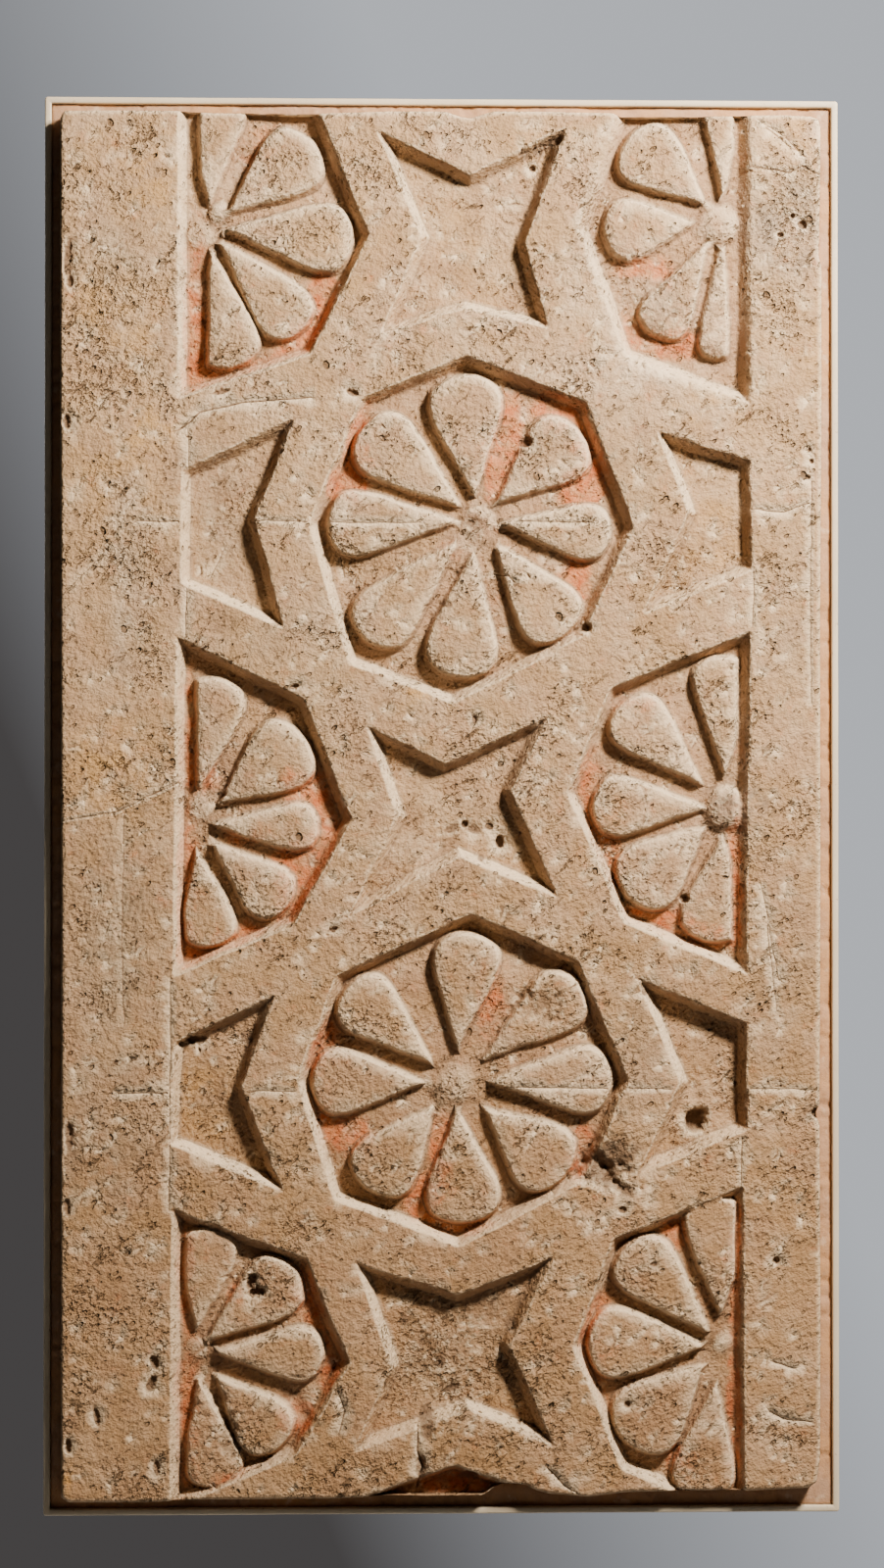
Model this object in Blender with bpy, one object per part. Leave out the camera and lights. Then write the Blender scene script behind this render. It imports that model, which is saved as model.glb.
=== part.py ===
"""Carved plaster frieze fragment, bedded in mortar in a shallow painted tray.

The front faces -Y, +X is right and +Z is up. The origin is at the centre of the tray's flat back.
Bands cross on a lattice and leave octagons and four-pointed stars between two plain margins.
The bands and the margins are the slab's face, and each octagon holds a rosette of eight petals.
"""

import math

import bmesh
import bpy
from mathutils import Vector
from mathutils.geometry import intersect_line_line_2d

# Tray
TRAY_WIDTH = 0.500
TRAY_HEIGHT = 0.890
TRAY_DEPTH = 0.038
RIM_WALL = 0.0042
BACK_WALL = 0.006
RIM_ROUND = 0.0008

# Mortar bed, with the strip of it that shows on each side of the slab
STRIP_LEFT = 0.0066
STRIP_RIGHT = 0.0087
STRIP_TOP = 0.0055
STRIP_BOTTOM = 0.0073
BED_FLOOR = 0.006
BED_BELOW_RIM = 0.003
FIT_GAP = 0.0003

# Slab and its plain margins
SLAB_PROUD = 0.014
MARGIN_LEFT = 0.0715
MARGIN_RIGHT = 0.0460
CORNER_ROUND = 0.005

# Carving
BAND_WIDTH = 0.032
RELIEF_DEPTH = 0.012
WALL_RUN = 0.0052
STAR_NOTCH = 0.033

# Rosettes
ROSETTE_INSET = 0.014
PETAL_COUNT = 8
PETAL_DROP = 0.001
PETAL_BEVEL = 0.004
PETAL_GAP = 0.001
PETAL_SPREAD = 0.23
PETAL_START = 0.018
PETAL_SHORTEST = 0.054
PETAL_END_STEPS = 8

# The rows in which the bands cross: left and right crossing, each as shares of the slab's width and
# height from its centre. The last row lies below the broken edge.
CROSSINGS = (
    ((-0.127, 0.509), (0.208, 0.513)),
    ((-0.137, 0.307), (0.215, 0.307)),
    ((-0.151, 0.089), (0.203, 0.101)),
    ((-0.168, -0.108), (0.208, -0.099)),
    ((-0.160, -0.306), (0.205, -0.295)),
    ((-0.152, -0.486), (0.193, -0.487)),
    ((-0.152, -0.675), (0.193, -0.675)),
)

# Worn and broken edges: share of the width from the centre, and how far the edge falls short there
TOP_WEAR = ((-0.12, 0.0), (0.00, 0.0005), (0.04, 0.0045), (0.08, 0.001), (0.24, 0.002), (0.27, 0.004))
BOTTOM_WEAR = (
    (-0.30, 0.0005),
    (-0.12, 0.003),
    (0.06, 0.003),
    (0.075, 0.010),
    (0.115, 0.010),
    (0.13, 0.004),
    (0.26, 0.006),
)

# Losses cut out of the face: share of width and height from the centre, radius and depth
LOSSES = (
    (0.227, -0.263, 0.016, 0.008),
    (0.337, -0.231, 0.007, 0.020),
    (0.079, -0.029, 0.004, 0.020),
    (-0.378, -0.411, 0.006, 0.004),
    (0.500, -0.222, 0.006, 0.008),
)
LOSS_SIDES = 7

# How far cutters reach past what they cut, how much the block is left over-size before it is trimmed,
# and how deep petals are rooted in the ground
OVERSHOOT = 0.004
TRIM_ALLOWANCE = 0.016
ROOT = 0.002

BACK_Y = 0.0
BED_BACK_Y = -(BACK_WALL + FIT_GAP)
SLAB_BACK_Y = BED_BACK_Y - BED_FLOOR - FIT_GAP
RIM_Y = -TRAY_DEPTH
BED_FRONT_Y = RIM_Y + BED_BELOW_RIM
FACE_Y = RIM_Y - SLAB_PROUD
GROUND_Y = FACE_Y + RELIEF_DEPTH
PETAL_TOP_Y = FACE_Y + PETAL_DROP

INNER_LEFT = -TRAY_WIDTH / 2 + RIM_WALL
INNER_RIGHT = TRAY_WIDTH / 2 - RIM_WALL
INNER_TOP = TRAY_HEIGHT / 2 - RIM_WALL
INNER_BOTTOM = -TRAY_HEIGHT / 2 + RIM_WALL
SLAB_LEFT = INNER_LEFT + STRIP_LEFT
SLAB_RIGHT = INNER_RIGHT - STRIP_RIGHT
SLAB_TOP = INNER_TOP - STRIP_TOP
SLAB_BOTTOM = INNER_BOTTOM + STRIP_BOTTOM
SLAB_WIDTH = SLAB_RIGHT - SLAB_LEFT
SLAB_HEIGHT = SLAB_TOP - SLAB_BOTTOM
SLAB_CENTRE = Vector(((SLAB_LEFT + SLAB_RIGHT) / 2, (SLAB_TOP + SLAB_BOTTOM) / 2))
MARGIN_EDGE_LEFT = SLAB_LEFT + MARGIN_LEFT
MARGIN_EDGE_RIGHT = SLAB_RIGHT - MARGIN_RIGHT


def clear_scene():
    """Empty the file of its starting objects."""
    for item in list(bpy.data.objects):
        bpy.data.objects.remove(item, do_unlink=True)


def material(name, colour, roughness):
    """A plain finish of one colour and roughness."""
    finish = bpy.data.materials.new(name)
    finish.use_nodes = True
    shader = finish.node_tree.nodes["Principled BSDF"]
    shader.inputs["Base Color"].default_value = (*colour, 1.0)
    shader.inputs["Roughness"].default_value = roughness
    shader.inputs["Metallic"].default_value = 0.0
    finish.diffuse_color = (*colour, 1.0)
    return finish


def on_slab(share_x, share_z):
    """Place on the slab from shares of its width and height, measured from its centre."""
    return SLAB_CENTRE + Vector((share_x * SLAB_WIDTH, share_z * SLAB_HEIGHT))


def add_object(name, bm, finish=None):
    """Turn a bmesh into an object with outward faces."""
    bmesh.ops.recalc_face_normals(bm, faces=bm.faces)
    mesh = bpy.data.meshes.new(name)
    bm.to_mesh(mesh)
    bm.free()
    item = bpy.data.objects.new(name, mesh)
    bpy.context.scene.collection.objects.link(item)
    if finish:
        mesh.materials.append(finish)
    return item


def box_mesh(left, right, bottom, top, front, back):
    """A block between six planes."""
    bm = bmesh.new()
    bmesh.ops.create_cube(bm, size=1.0)
    for vert in bm.verts:
        vert.co = Vector((
            right if vert.co.x > 0 else left,
            back if vert.co.y > 0 else front,
            top if vert.co.z > 0 else bottom,
        ))
    return bm


def loft_mesh(front_loop, front_y, back_loop, back_y):
    """A solid between two outlines with the same number of corners, one in front of the other."""
    bm = bmesh.new()
    front = [bm.verts.new((p.x, front_y, p.y)) for p in front_loop]
    back = [bm.verts.new((p.x, back_y, p.y)) for p in back_loop]
    bm.faces.new(front)
    bm.faces.new(list(reversed(back)))
    count = len(front)
    for i in range(count):
        j = (i + 1) % count
        bm.faces.new((front[i], back[i], back[j], front[j]))
    return bm


def hull_mesh(front_loop, front_y, back_loop, back_y):
    """The tightest solid around two outlines, one in front of the other."""
    bm = bmesh.new()
    for p in front_loop:
        bm.verts.new((p.x, front_y, p.y))
    for p in back_loop:
        bm.verts.new((p.x, back_y, p.y))
    bmesh.ops.convex_hull(bm, input=bm.verts)
    return bm


def shrink(loop, distance):
    """Move every side of a clockwise outline inwards by a distance and meet them again at corners."""
    result = []
    count = len(loop)
    for i in range(count):
        before = (loop[i] - loop[i - 1]).normalized()
        after = (loop[(i + 1) % count] - loop[i]).normalized()
        inward_before = Vector((before.y, -before.x))
        inward_after = Vector((after.y, -after.x))
        mitre = (inward_before + inward_after).normalized()
        result.append(loop[i] + mitre * (distance / mitre.dot(inward_after)))
    return result


def keep_side(loop, axis, limit, sign):
    """Cut an outline at a line across one axis and keep the side that the sign points to."""
    result = []
    for i, here in enumerate(loop):
        there = loop[(i + 1) % len(loop)]
        here_over = sign * (here[axis] - limit)
        there_over = sign * (there[axis] - limit)
        if here_over >= 0:
            result.append(here)
        if (here_over > 0 > there_over) or (here_over < 0 < there_over):
            result.append(here.lerp(there, here_over / (here_over - there_over)))
    return result


def boolean(target, operation, operand):
    """Cut, join or trim a piece with one object or with a collection of them."""
    modifier = target.modifiers.new(operation.title(), "BOOLEAN")
    modifier.operation = operation
    modifier.solver = "EXACT"
    if isinstance(operand, bpy.types.Collection):
        modifier.operand_type = "COLLECTION"
        modifier.collection = operand
    else:
        modifier.object = operand


def as_tool(item, group=None):
    """Mark an object as a construction aid, and file it in a group of them."""
    item.hide_render = True
    item.display_type = "WIRE"
    if group:
        bpy.context.scene.collection.objects.unlink(item)
        group.objects.link(item)
    return item


def tool_group(name):
    """A named group of construction aids."""
    group = bpy.data.collections.new(name)
    bpy.context.scene.collection.children.link(group)
    return group


def notch_node(first, second, inward):
    """Middle of a cell's side, pushed into the star beside it."""
    return (first + second) / 2 + Vector(inward) * STAR_NOTCH


def at_line(inner, outer, x):
    """Where the line through two points reaches a vertical line."""
    share = (x - inner.x) / (outer.x - inner.x)
    return inner + (outer - inner) * share


def cell_outlines():
    """Centre lines of the bands around every cell, clockwise, with the cell's kind and column.

    Cells of a row lie between two rows of crossings. In the odd rows the middle cell is an octagon and
    the outer two are halves of stars, and in the even rows it is the other way round.
    """
    nodes = [[on_slab(*left), on_slab(*right)] for left, right in CROSSINGS]
    half_band = BAND_WIDTH / 2
    cells = []
    for row in range(len(nodes) - 1):
        upper, lower = nodes[row], nodes[row + 1]
        middle_is_star = row % 2 == 0
        push = 1 if middle_is_star else -1
        top = notch_node(upper[0], upper[1], (0, -push))
        bottom = notch_node(lower[0], lower[1], (0, push))
        left = notch_node(upper[0], lower[0], (push, 0))
        right = notch_node(upper[1], lower[1], (-push, 0))
        middle = [upper[0], top, upper[1], right, lower[1], bottom, lower[0], left]
        cells.append(("star" if middle_is_star else "octagon", "middle", middle))
        side_kind = "octagon" if middle_is_star else "star"
        for column, inner, edge, outwards, turn in (
            (0, left, MARGIN_EDGE_LEFT, -half_band, 1),
            (1, right, MARGIN_EDGE_RIGHT, half_band, -1),
        ):
            above, below = upper[column], lower[column]
            above_edge = Vector((edge, above.y + push * STAR_NOTCH))
            below_edge = Vector((edge, below.y - push * STAR_NOTCH))
            half = [
                at_line(above, above_edge, edge + outwards),
                above,
                inner,
                below,
                at_line(below, below_edge, edge + outwards),
            ]
            side = "left" if column == 0 else "right"
            cells.append((side_kind, side, half if turn > 0 else half[::-1]))
    return cells


def rosette_centre(column, outline):
    """Middle of an octagon, or a fixed way in from the margin where the margin halves it."""
    middle_z = (min(p.y for p in outline) + max(p.y for p in outline)) / 2
    if column == "left":
        return Vector((MARGIN_EDGE_LEFT + ROSETTE_INSET, middle_z))
    if column == "right":
        return Vector((MARGIN_EDGE_RIGHT - ROSETTE_INSET, middle_z))
    middle_x = (min(p.x for p in outline) + max(p.x for p in outline)) / 2
    return Vector((middle_x, middle_z))


def reach_to(outline, centre, direction):
    """Distance from a centre to the outline along a direction."""
    far = centre + direction * (SLAB_WIDTH + SLAB_HEIGHT)
    for i, corner in enumerate(outline):
        hit = intersect_line_line_2d(centre, far, corner, outline[(i + 1) % len(outline)])
        if hit:
            return (hit - centre).length
    return 0.0


def petal_outline(centre, direction, start, reach, radius):
    """Teardrop: a round end with two straight sides that meet at the start."""
    round_centre = reach - radius
    side_angle = math.asin(radius / (round_centre - start))
    sweep = math.pi / 2 + side_angle
    across = Vector((-direction.y, direction.x))
    loop = [centre + direction * start]
    for step in range(PETAL_END_STEPS + 1):
        angle = -sweep + 2 * sweep * step / PETAL_END_STEPS
        along = round_centre + radius * math.cos(angle)
        loop.append(centre + direction * along + across * (radius * math.sin(angle)))
    return loop


def add_petals(column, outline, ground_outline, group):
    """The rosette of one octagon: petals with flat tops, bevelled sides and rounded ends.

    The octagon that the lower edge breaks through has lost its own.
    """
    centre = rosette_centre(column, outline)
    if centre.y < SLAB_BOTTOM:
        return
    slope = PETAL_BEVEL / (RELIEF_DEPTH - PETAL_DROP)
    spread = PETAL_BEVEL + slope * ROOT
    edges = {"left": (MARGIN_EDGE_LEFT, 1), "right": (MARGIN_EDGE_RIGHT, -1)}
    for number in range(PETAL_COUNT):
        turn = 2 * math.pi * number / PETAL_COUNT
        direction = Vector((math.cos(turn), math.sin(turn)))
        reach = reach_to(ground_outline, centre, direction) - PETAL_GAP - PETAL_BEVEL
        if reach < PETAL_SHORTEST:
            continue
        radius = PETAL_SPREAD * reach
        side_angle = math.asin(radius / (reach - radius - PETAL_START))
        root_start = PETAL_START - spread / math.sin(side_angle)
        top = petal_outline(centre, direction, PETAL_START, reach, radius)
        root = petal_outline(centre, direction, root_start, reach + spread, radius + spread)
        if column in edges:
            edge, sign = edges[column]
            top = keep_side(top, 0, edge + sign * (WALL_RUN + PETAL_GAP + PETAL_BEVEL), sign)
            root = keep_side(root, 0, edge + sign * (WALL_RUN + PETAL_GAP - slope * ROOT), sign)
        petal = hull_mesh(top, PETAL_TOP_Y, root, GROUND_Y + ROOT)
        as_tool(add_object(f"petal_{len(group.objects)}", petal), group)


def add_recess(outline, group):
    """One cell cut down to the ground, with walls that lean outwards."""
    slope = WALL_RUN / RELIEF_DEPTH
    mouth = shrink(outline, BAND_WIDTH / 2 - slope * OVERSHOOT)
    ground = shrink(outline, BAND_WIDTH / 2 + WALL_RUN)
    cutter = loft_mesh(mouth, FACE_Y - OVERSHOOT, ground, GROUND_Y)
    as_tool(add_object(f"recess_{len(group.objects)}", cutter), group)
    return ground


def add_loss(share_x, share_z, radius, depth, group):
    """A broken hollow with a few uneven sides that narrow inwards."""
    centre = on_slab(share_x, share_z)
    mouth = []
    pit = []
    for side in range(LOSS_SIDES):
        angle = -2 * math.pi * side / LOSS_SIDES
        uneven = 1 + 0.2 * math.sin(3.7 * side + 40 * share_x)
        arm = Vector((math.cos(angle), math.sin(angle))) * radius * uneven
        mouth.append(centre + arm * (1 + OVERSHOOT / depth / 2))
        pit.append(centre + arm / 2)
    cutter = loft_mesh(mouth, FACE_Y - OVERSHOOT, pit, FACE_Y + depth)
    as_tool(add_object(f"loss_{len(group.objects)}", cutter), group)


def slab_outline():
    """The slab's worn outline, clockwise from the top left corner."""
    top = [(-0.5 + CORNER_ROUND / SLAB_WIDTH, 0.0), *TOP_WEAR]
    top_end = TOP_WEAR[-1][1]
    bottom_end = BOTTOM_WEAR[-1][1]
    loop = [Vector((SLAB_CENTRE.x + share * SLAB_WIDTH, SLAB_TOP - drop)) for share, drop in top]
    loop.append(Vector((SLAB_RIGHT - CORNER_ROUND, SLAB_TOP - top_end)))
    loop.append(Vector((SLAB_RIGHT, SLAB_TOP - top_end - CORNER_ROUND)))
    loop.append(Vector((SLAB_RIGHT, SLAB_BOTTOM + bottom_end + 2 * CORNER_ROUND)))
    loop.append(Vector((SLAB_RIGHT - CORNER_ROUND, SLAB_BOTTOM + bottom_end + CORNER_ROUND)))
    for share, rise in reversed(BOTTOM_WEAR):
        loop.append(Vector((SLAB_CENTRE.x + share * SLAB_WIDTH, SLAB_BOTTOM + rise)))
    loop.append(Vector((SLAB_LEFT + CORNER_ROUND / 2, SLAB_BOTTOM)))
    loop.append(Vector((SLAB_LEFT, SLAB_BOTTOM + CORNER_ROUND / 2)))
    loop.append(Vector((SLAB_LEFT, SLAB_TOP - CORNER_ROUND)))
    return loop


def frieze_slab():
    """The carved slab: a rough block, recessed, filled with petals and trimmed to its worn outline."""
    finish = material("carved_plaster", (0.60, 0.46, 0.34), 0.9)
    slab = add_object(
        "frieze_slab",
        box_mesh(
            SLAB_LEFT - TRIM_ALLOWANCE,
            SLAB_RIGHT + TRIM_ALLOWANCE,
            SLAB_BOTTOM - TRIM_ALLOWANCE,
            SLAB_TOP + TRIM_ALLOWANCE,
            FACE_Y,
            SLAB_BACK_Y,
        ),
        finish,
    )
    recesses = tool_group("recess_cutters")
    petals = tool_group("petals")
    losses = tool_group("loss_cutters")
    for kind, column, outline in cell_outlines():
        ground = add_recess(outline, recesses)
        if kind == "octagon":
            add_petals(column, outline, ground, petals)
    for loss in LOSSES:
        add_loss(*loss, losses)
    outline = slab_outline()
    trim = as_tool(add_object("outline_trim", loft_mesh(
        outline, FACE_Y - OVERSHOOT, outline, SLAB_BACK_Y + OVERSHOOT
    )))
    boolean(slab, "DIFFERENCE", recesses)
    boolean(slab, "UNION", petals)
    boolean(slab, "DIFFERENCE", losses)
    boolean(slab, "INTERSECT", trim)
    return slab


def setting_bed():
    """Mortar under the slab and around its sides, a little below the tray's rim."""
    finish = material("setting_mortar", (0.52, 0.31, 0.19), 0.95)
    bed = add_object(
        "setting_bed",
        box_mesh(
            INNER_LEFT + FIT_GAP,
            INNER_RIGHT - FIT_GAP,
            INNER_BOTTOM + FIT_GAP,
            INNER_TOP - FIT_GAP,
            BED_FRONT_Y,
            BED_BACK_Y,
        ),
        finish,
    )
    pocket = add_object(
        "bed_pocket",
        box_mesh(
            SLAB_LEFT - FIT_GAP,
            SLAB_RIGHT + FIT_GAP,
            SLAB_BOTTOM - FIT_GAP,
            SLAB_TOP + FIT_GAP,
            BED_FRONT_Y - OVERSHOOT,
            BED_BACK_Y - BED_FLOOR,
        ),
    )
    boolean(bed, "DIFFERENCE", as_tool(pocket))
    return bed


def mount_tray():
    """Shallow tray: a back board with four thin rims, edges slightly rounded."""
    finish = material("cream_paint", (0.72, 0.62, 0.46), 0.5)
    tray = add_object(
        "mount_tray",
        box_mesh(
            -TRAY_WIDTH / 2,
            TRAY_WIDTH / 2,
            -TRAY_HEIGHT / 2,
            TRAY_HEIGHT / 2,
            RIM_Y,
            BACK_Y,
        ),
        finish,
    )
    hollow = add_object(
        "tray_hollow",
        box_mesh(INNER_LEFT, INNER_RIGHT, INNER_BOTTOM, INNER_TOP, RIM_Y - OVERSHOOT, -BACK_WALL),
    )
    boolean(tray, "DIFFERENCE", as_tool(hollow))
    soften = tray.modifiers.new("Soften", "BEVEL")
    soften.width = RIM_ROUND
    soften.segments = 2
    soften.limit_method = "ANGLE"
    return tray


def main():
    """Build the three pieces."""
    clear_scene()
    mount_tray()
    setting_bed()
    frieze_slab()


main()
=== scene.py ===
import math

import bpy
import numpy as np
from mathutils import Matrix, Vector
from mathutils.geometry import delaunay_2d_cdt


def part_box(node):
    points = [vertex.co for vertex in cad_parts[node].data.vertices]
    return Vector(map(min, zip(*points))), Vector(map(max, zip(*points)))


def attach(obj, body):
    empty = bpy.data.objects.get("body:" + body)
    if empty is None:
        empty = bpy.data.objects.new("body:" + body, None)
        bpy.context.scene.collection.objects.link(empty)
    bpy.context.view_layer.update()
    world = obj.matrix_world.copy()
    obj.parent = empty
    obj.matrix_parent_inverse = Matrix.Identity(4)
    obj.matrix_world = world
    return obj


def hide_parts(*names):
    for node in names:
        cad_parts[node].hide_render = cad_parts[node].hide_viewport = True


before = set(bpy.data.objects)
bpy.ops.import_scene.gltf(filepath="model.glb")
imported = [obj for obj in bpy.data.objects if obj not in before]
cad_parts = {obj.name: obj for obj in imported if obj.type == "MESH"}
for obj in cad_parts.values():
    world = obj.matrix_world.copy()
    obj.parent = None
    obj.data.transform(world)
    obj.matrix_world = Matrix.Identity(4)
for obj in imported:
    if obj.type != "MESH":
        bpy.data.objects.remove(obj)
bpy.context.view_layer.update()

MM = 0.001

# The camera, as worked out from the tray's four corners in the photograph
PHOTO_WIDTH = 902
PHOTO_HEIGHT = 1600
FOCAL_PIXELS = 3997.5
CAMERA_PLACE = np.array([-0.0782, -2.5, -0.0170])
CAMERA_YAW = 0.0316
CAMERA_PITCH = 0.0122
SENSOR_HEIGHT = 36.0

# Corners of the solids' boxes, planes of the slab, and how far the front stays inside its box
SLAB_LOW, SLAB_HIGH = (np.array(corner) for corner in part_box("frieze_slab"))
TRAY_LOW, TRAY_HIGH = (np.array(corner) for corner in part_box("mount_tray"))
BED_LOW, BED_HIGH = (np.array(corner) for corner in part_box("setting_bed"))
FACE_Y = SLAB_LOW[1]
SLAB_BACK_Y = SLAB_HIGH[1]
SKIN = 0.02 * MM

# Carving: usual depth, usual run of a recess's wall, slope round a petal, rounding of the slab's edge
RELIEF_DEPTH = 12.0 * MM
WALL_RUN = 5.2 * MM
PETAL_BEVEL = 3.4 * MM
OUTLINE_ROUND = 3.0 * MM

# A petal's shape in shares of its half width: how far its widest place lies from its end, how wide
# its straight sides grow, the radius of its end, and the rounding between end and sides
PETAL_WIDEST = 0.86
PETAL_FLARE = 1.07
PETAL_END = 1.28
PETAL_BLEND = 0.62

# Lean of the petals' tops along and across them, at most
PETAL_LEAN = (0.022, 0.028)

# Depth of the ground near a rosette's middle, as a share of its full depth
FLOOR_AT_HUB = 0.72

# Steps between points along the outline, the edges, the mortar, broken ground and flats
RING_STEP = 2.5 * MM
EDGE_STEP = 1.9 * MM
MORTAR_STEP = 1.9 * MM
ROUGH_STEP = 2.3 * MM
FLAT_STEP = 5.2 * MM

# Squares that hold no more than one point: fine points, edges, broken ground and flats
FINE_GAP = 0.45 * MM
EDGE_GAP = 0.7 * MM
ROUGH_GAP = 1.0 * MM
FLAT_GAP = 1.9 * MM

# Width round a recess's mouth in which the wall may still round the face
MOUTH_MARGIN = 8 * MM

# Gashes: how many are tried, their usual slant in degrees, and the squares used to find them
GASH_COUNT = 1500
GASH_SLANT = -48.0
GASH_CELL = 5 * MM
AROUND = [(right, up) for right in (-1, 0, 1) for up in (-1, 0, 1)]

# The tray's boards and the floor between them, and how near a corner the mortar's corner is sought
TRAY_WALL = 4.2 * MM
TRAY_FLOOR_Y = -6.0 * MM
CORNER_REACH = 9 * MM

# The way towards the key light, and gain and threshold of the masks that the shape gives
# Sides facing that way get a painted highlight, sides turned from it painted shade
LIGHT_SIDE_WAY = np.array([0.6, 0.0, 0.8])
LIGHT_SIDE_GAIN = (1.3, 0.1)
HOLLOW_GAIN = (3.2, 0.12)
CREST_GAIN = (5.0, 0.22)

# Lights: place, point aimed at, width in metres, power in watts, colour
LIGHTS = {
    "key_light": ((0.80, -0.992, 0.96), (0.3, 0.0, 0.55), 0.30, 78.0, (1.0, 0.885, 0.745)),
    "fill_light": ((-1.9, -2.4, 0.4), (0.0, 0.0, 0.0), 2.4, 0.1, (1.0, 0.88, 0.74)),
    "back_fill": ((-1.4, 2.6, 0.9), (0.0, 0.0, 0.0), 1.6, 45.0, (1.0, 0.97, 0.93)),
}
FLOOR_Z = -1.45

# Recesses: corners of the mouth in photo pixels, wall run as a share of the usual one, wear of the
# upper edge, depth as a share of the usual one
RECESSES = {
    "octagon_c1": (((475, 362), (599, 410), (647, 537), (594, 650), (462, 717), (357, 676), (315, 533),
                    (369, 406)), 1.0, 0.25, 1.0),
    "octagon_c2": (((481, 931), (590, 980), (641, 1103), (598, 1204), (468, 1272), (341, 1224), (303, 1103),
                    (344, 995)), 1.0, 0.3, 1.0),
    "octagon_c3": (((465, 1495), (545, 1526), (600, 1600), (330, 1600), (375, 1527)), 0.8, 0.5, 1.0),
    "star_s1": (((385, 132), (480, 177), (580, 129), (536, 247), (560, 334), (474, 313), (388, 342),
                 (430, 240)), 1.0, 0.25, 0.9),
    "star_s2": (((374, 740), (454, 779), (560, 731), (522, 807), (570, 916), (468, 874), (357, 935),
                 (405, 832)), 1.0, 0.3, 0.9),
    "star_s3": (((363, 1288), (466, 1322), (564, 1284), (520, 1374), (566, 1476), (477, 1438), (361, 1482),
                 (400, 1395)), 1.0, 0.4, 0.9),
    "octagon_l1": (((182, 60), (304, 60), (377, 239), (317, 361), (182, 406)), 1.0, 0.25, 1.0),
    "octagon_r1": (((649, 60), (766, 60), (766, 412), (637, 362), (592, 232)), 1.2, 0.6, 1.0),
    "star_hl1": (((185, 479), (302, 426), (260, 528), (291, 642), (184, 594)), 1.0, 0.25, 0.85),
    "star_hr1": (((671, 439), (766, 469), (768, 581), (656, 626), (703, 522)), 1.0, 0.3, 0.85),
    "octagon_l2": (((180, 649), (310, 712), (359, 836), (300, 943), (177, 996)), 1.0, 0.25, 1.0),
    "octagon_r2": (((766, 644), (624, 701), (579, 808), (637, 941), (762, 994)), 1.0, 0.3, 1.0),
    "star_hl2": (((178, 1064), (281, 1014), (247, 1109), (289, 1217), (173, 1167)), 1.0, 0.35, 0.9),
    "star_hr2": (((651, 999), (763, 1043), (763, 1152), (652, 1199), (695, 1103)), 1.0, 0.3, 1.0),
    "octagon_l3": (((176, 1235), (313, 1285), (357, 1391), (302, 1485), (174, 1540)), 1.0, 0.3, 1.0),
    "octagon_r3": (((759, 1211), (761, 1556), (635, 1500), (585, 1375), (626, 1264)), 1.0, 0.3, 1.0),
}

# Rosettes: centre in photo pixels, the x beyond which petals are cut beside the margin, and petals as
# angle in degrees, reach, start and half width in pixels, drop in millimetres, softness of the edges
ROSETTES = {
    "octagon_c1": ((487, 531), None, None, (
        (96, 148, 28, 36, 0.8, 1.0), (141, 149, 26, 34, 0.8, 1.0), (181.5, 151, 25, 32, 0.8, 1.0),
        (226, 165, 34, 32, 1.2, 1.2), (263, 160, 36, 35, 1.0, 1.0), (308, 146, 34, 33, 1.0, 1.0),
        (354, 135, 29, 27, 0.8, 1.0), (41.5, 137, 32, 34, 1.2, 1.4))),
    "octagon_c2": ((463, 1105), None, None, (
        (84, 151, 39, 33, 1.0, 1.0), (138.6, 144, 34, 31, 0.8, 1.0), (180, 142, 34, 32, 1.0, 1.2),
        (230.6, 138, 37, 34, 1.0, 1.0), (274.8, 142, 33, 36, 1.0, 1.0), (319.7, 147, 46, 35, 1.2, 1.2),
        (0.7, 159, 41, 33, 0.8, 1.0), (37.4, 160, 42, 30, 2.0, 1.5))),
    "octagon_l1": ((212, 232), 205, 214, (
        (88, 160, 30, 36, 1.0, 1.0), (39.4, 137, 30, 34, 0.6, 1.0), (-4.3, 146, 22, 34, 0.6, 1.0),
        (-47.6, 139, 22, 29, 1.2, 1.0), (-80, 142, 30, 31, 1.4, 1.1))),
    "octagon_r1": ((738, 222), 748, 742, (
        (139.5, 126, 27, 33, 1.0, 1.0), (90, 170, 27, 26, 1.2, 1.0), (187, 120, 34, 30, 1.8, 1.5),
        (239.5, 136, 34, 25, 1.9, 1.2), (267, 141, 32, 16, 2.2, 1.2))),
    "octagon_l2": ((195, 842), 202, 190, (
        (80, 150, 39, 31, 1.2, 1.1), (37.6, 143, 41, 36, 0.8, 1.0), (-1, 127, 26, 23, 0.8, 1.3),
        (-41, 126, 31, 27, 1.0, 1.0), (-80, 124, 31, 26, 1.4, 1.0))),
    "octagon_r2": ((742, 825), 751, 745, (
        (136, 149, 40, 30, 1.2, 1.1), (92, 154, 38, 28, 1.2, 1.0), (179, 135, 26, 29, 1.0, 1.1),
        (221, 134, 31, 35, 1.0, 1.0), (263, 136, 33, 32, 1.0, 1.0))),
    "octagon_l3": ((197, 1380), 191, 189, (
        (81.5, 124, 25, 27, 2.4, 1.6), (38.4, 129, 22, 32, 1.2, 1.2), (-2.2, 130, 26, 27, 1.0, 1.1),
        (-47.2, 129, 37, 30, 1.2, 1.1), (-80, 138, 32, 27, 1.6, 1.2))),
    "octagon_r3": ((737, 1375), 749, 749, (
        (134, 139, 23, 32, 1.0, 1.1), (92, 150, 35, 32, 1.2, 1.0), (178, 135, 21, 35, 1.0, 1.0),
        (224.4, 136, 31, 38, 1.2, 1.0), (262, 156, 42, 31, 1.8, 1.2))),
}

# Low ground left standing at the middle of rosettes: pixel place, radius in pixels, depth in millimetres
HUBS = (
    ((488, 533), 24, 5.6), ((463, 1107), 27, 5.2), ((222, 214), 12, 3.8), ((735, 226), 27, 5.2),
    ((205, 822), 20, 6.6), ((742, 825), 26, 2.0), ((205, 1378), 14, 6.6), ((738, 1372), 14, 5.8),
    ((205, 240), 22, 6.8),
)

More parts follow.
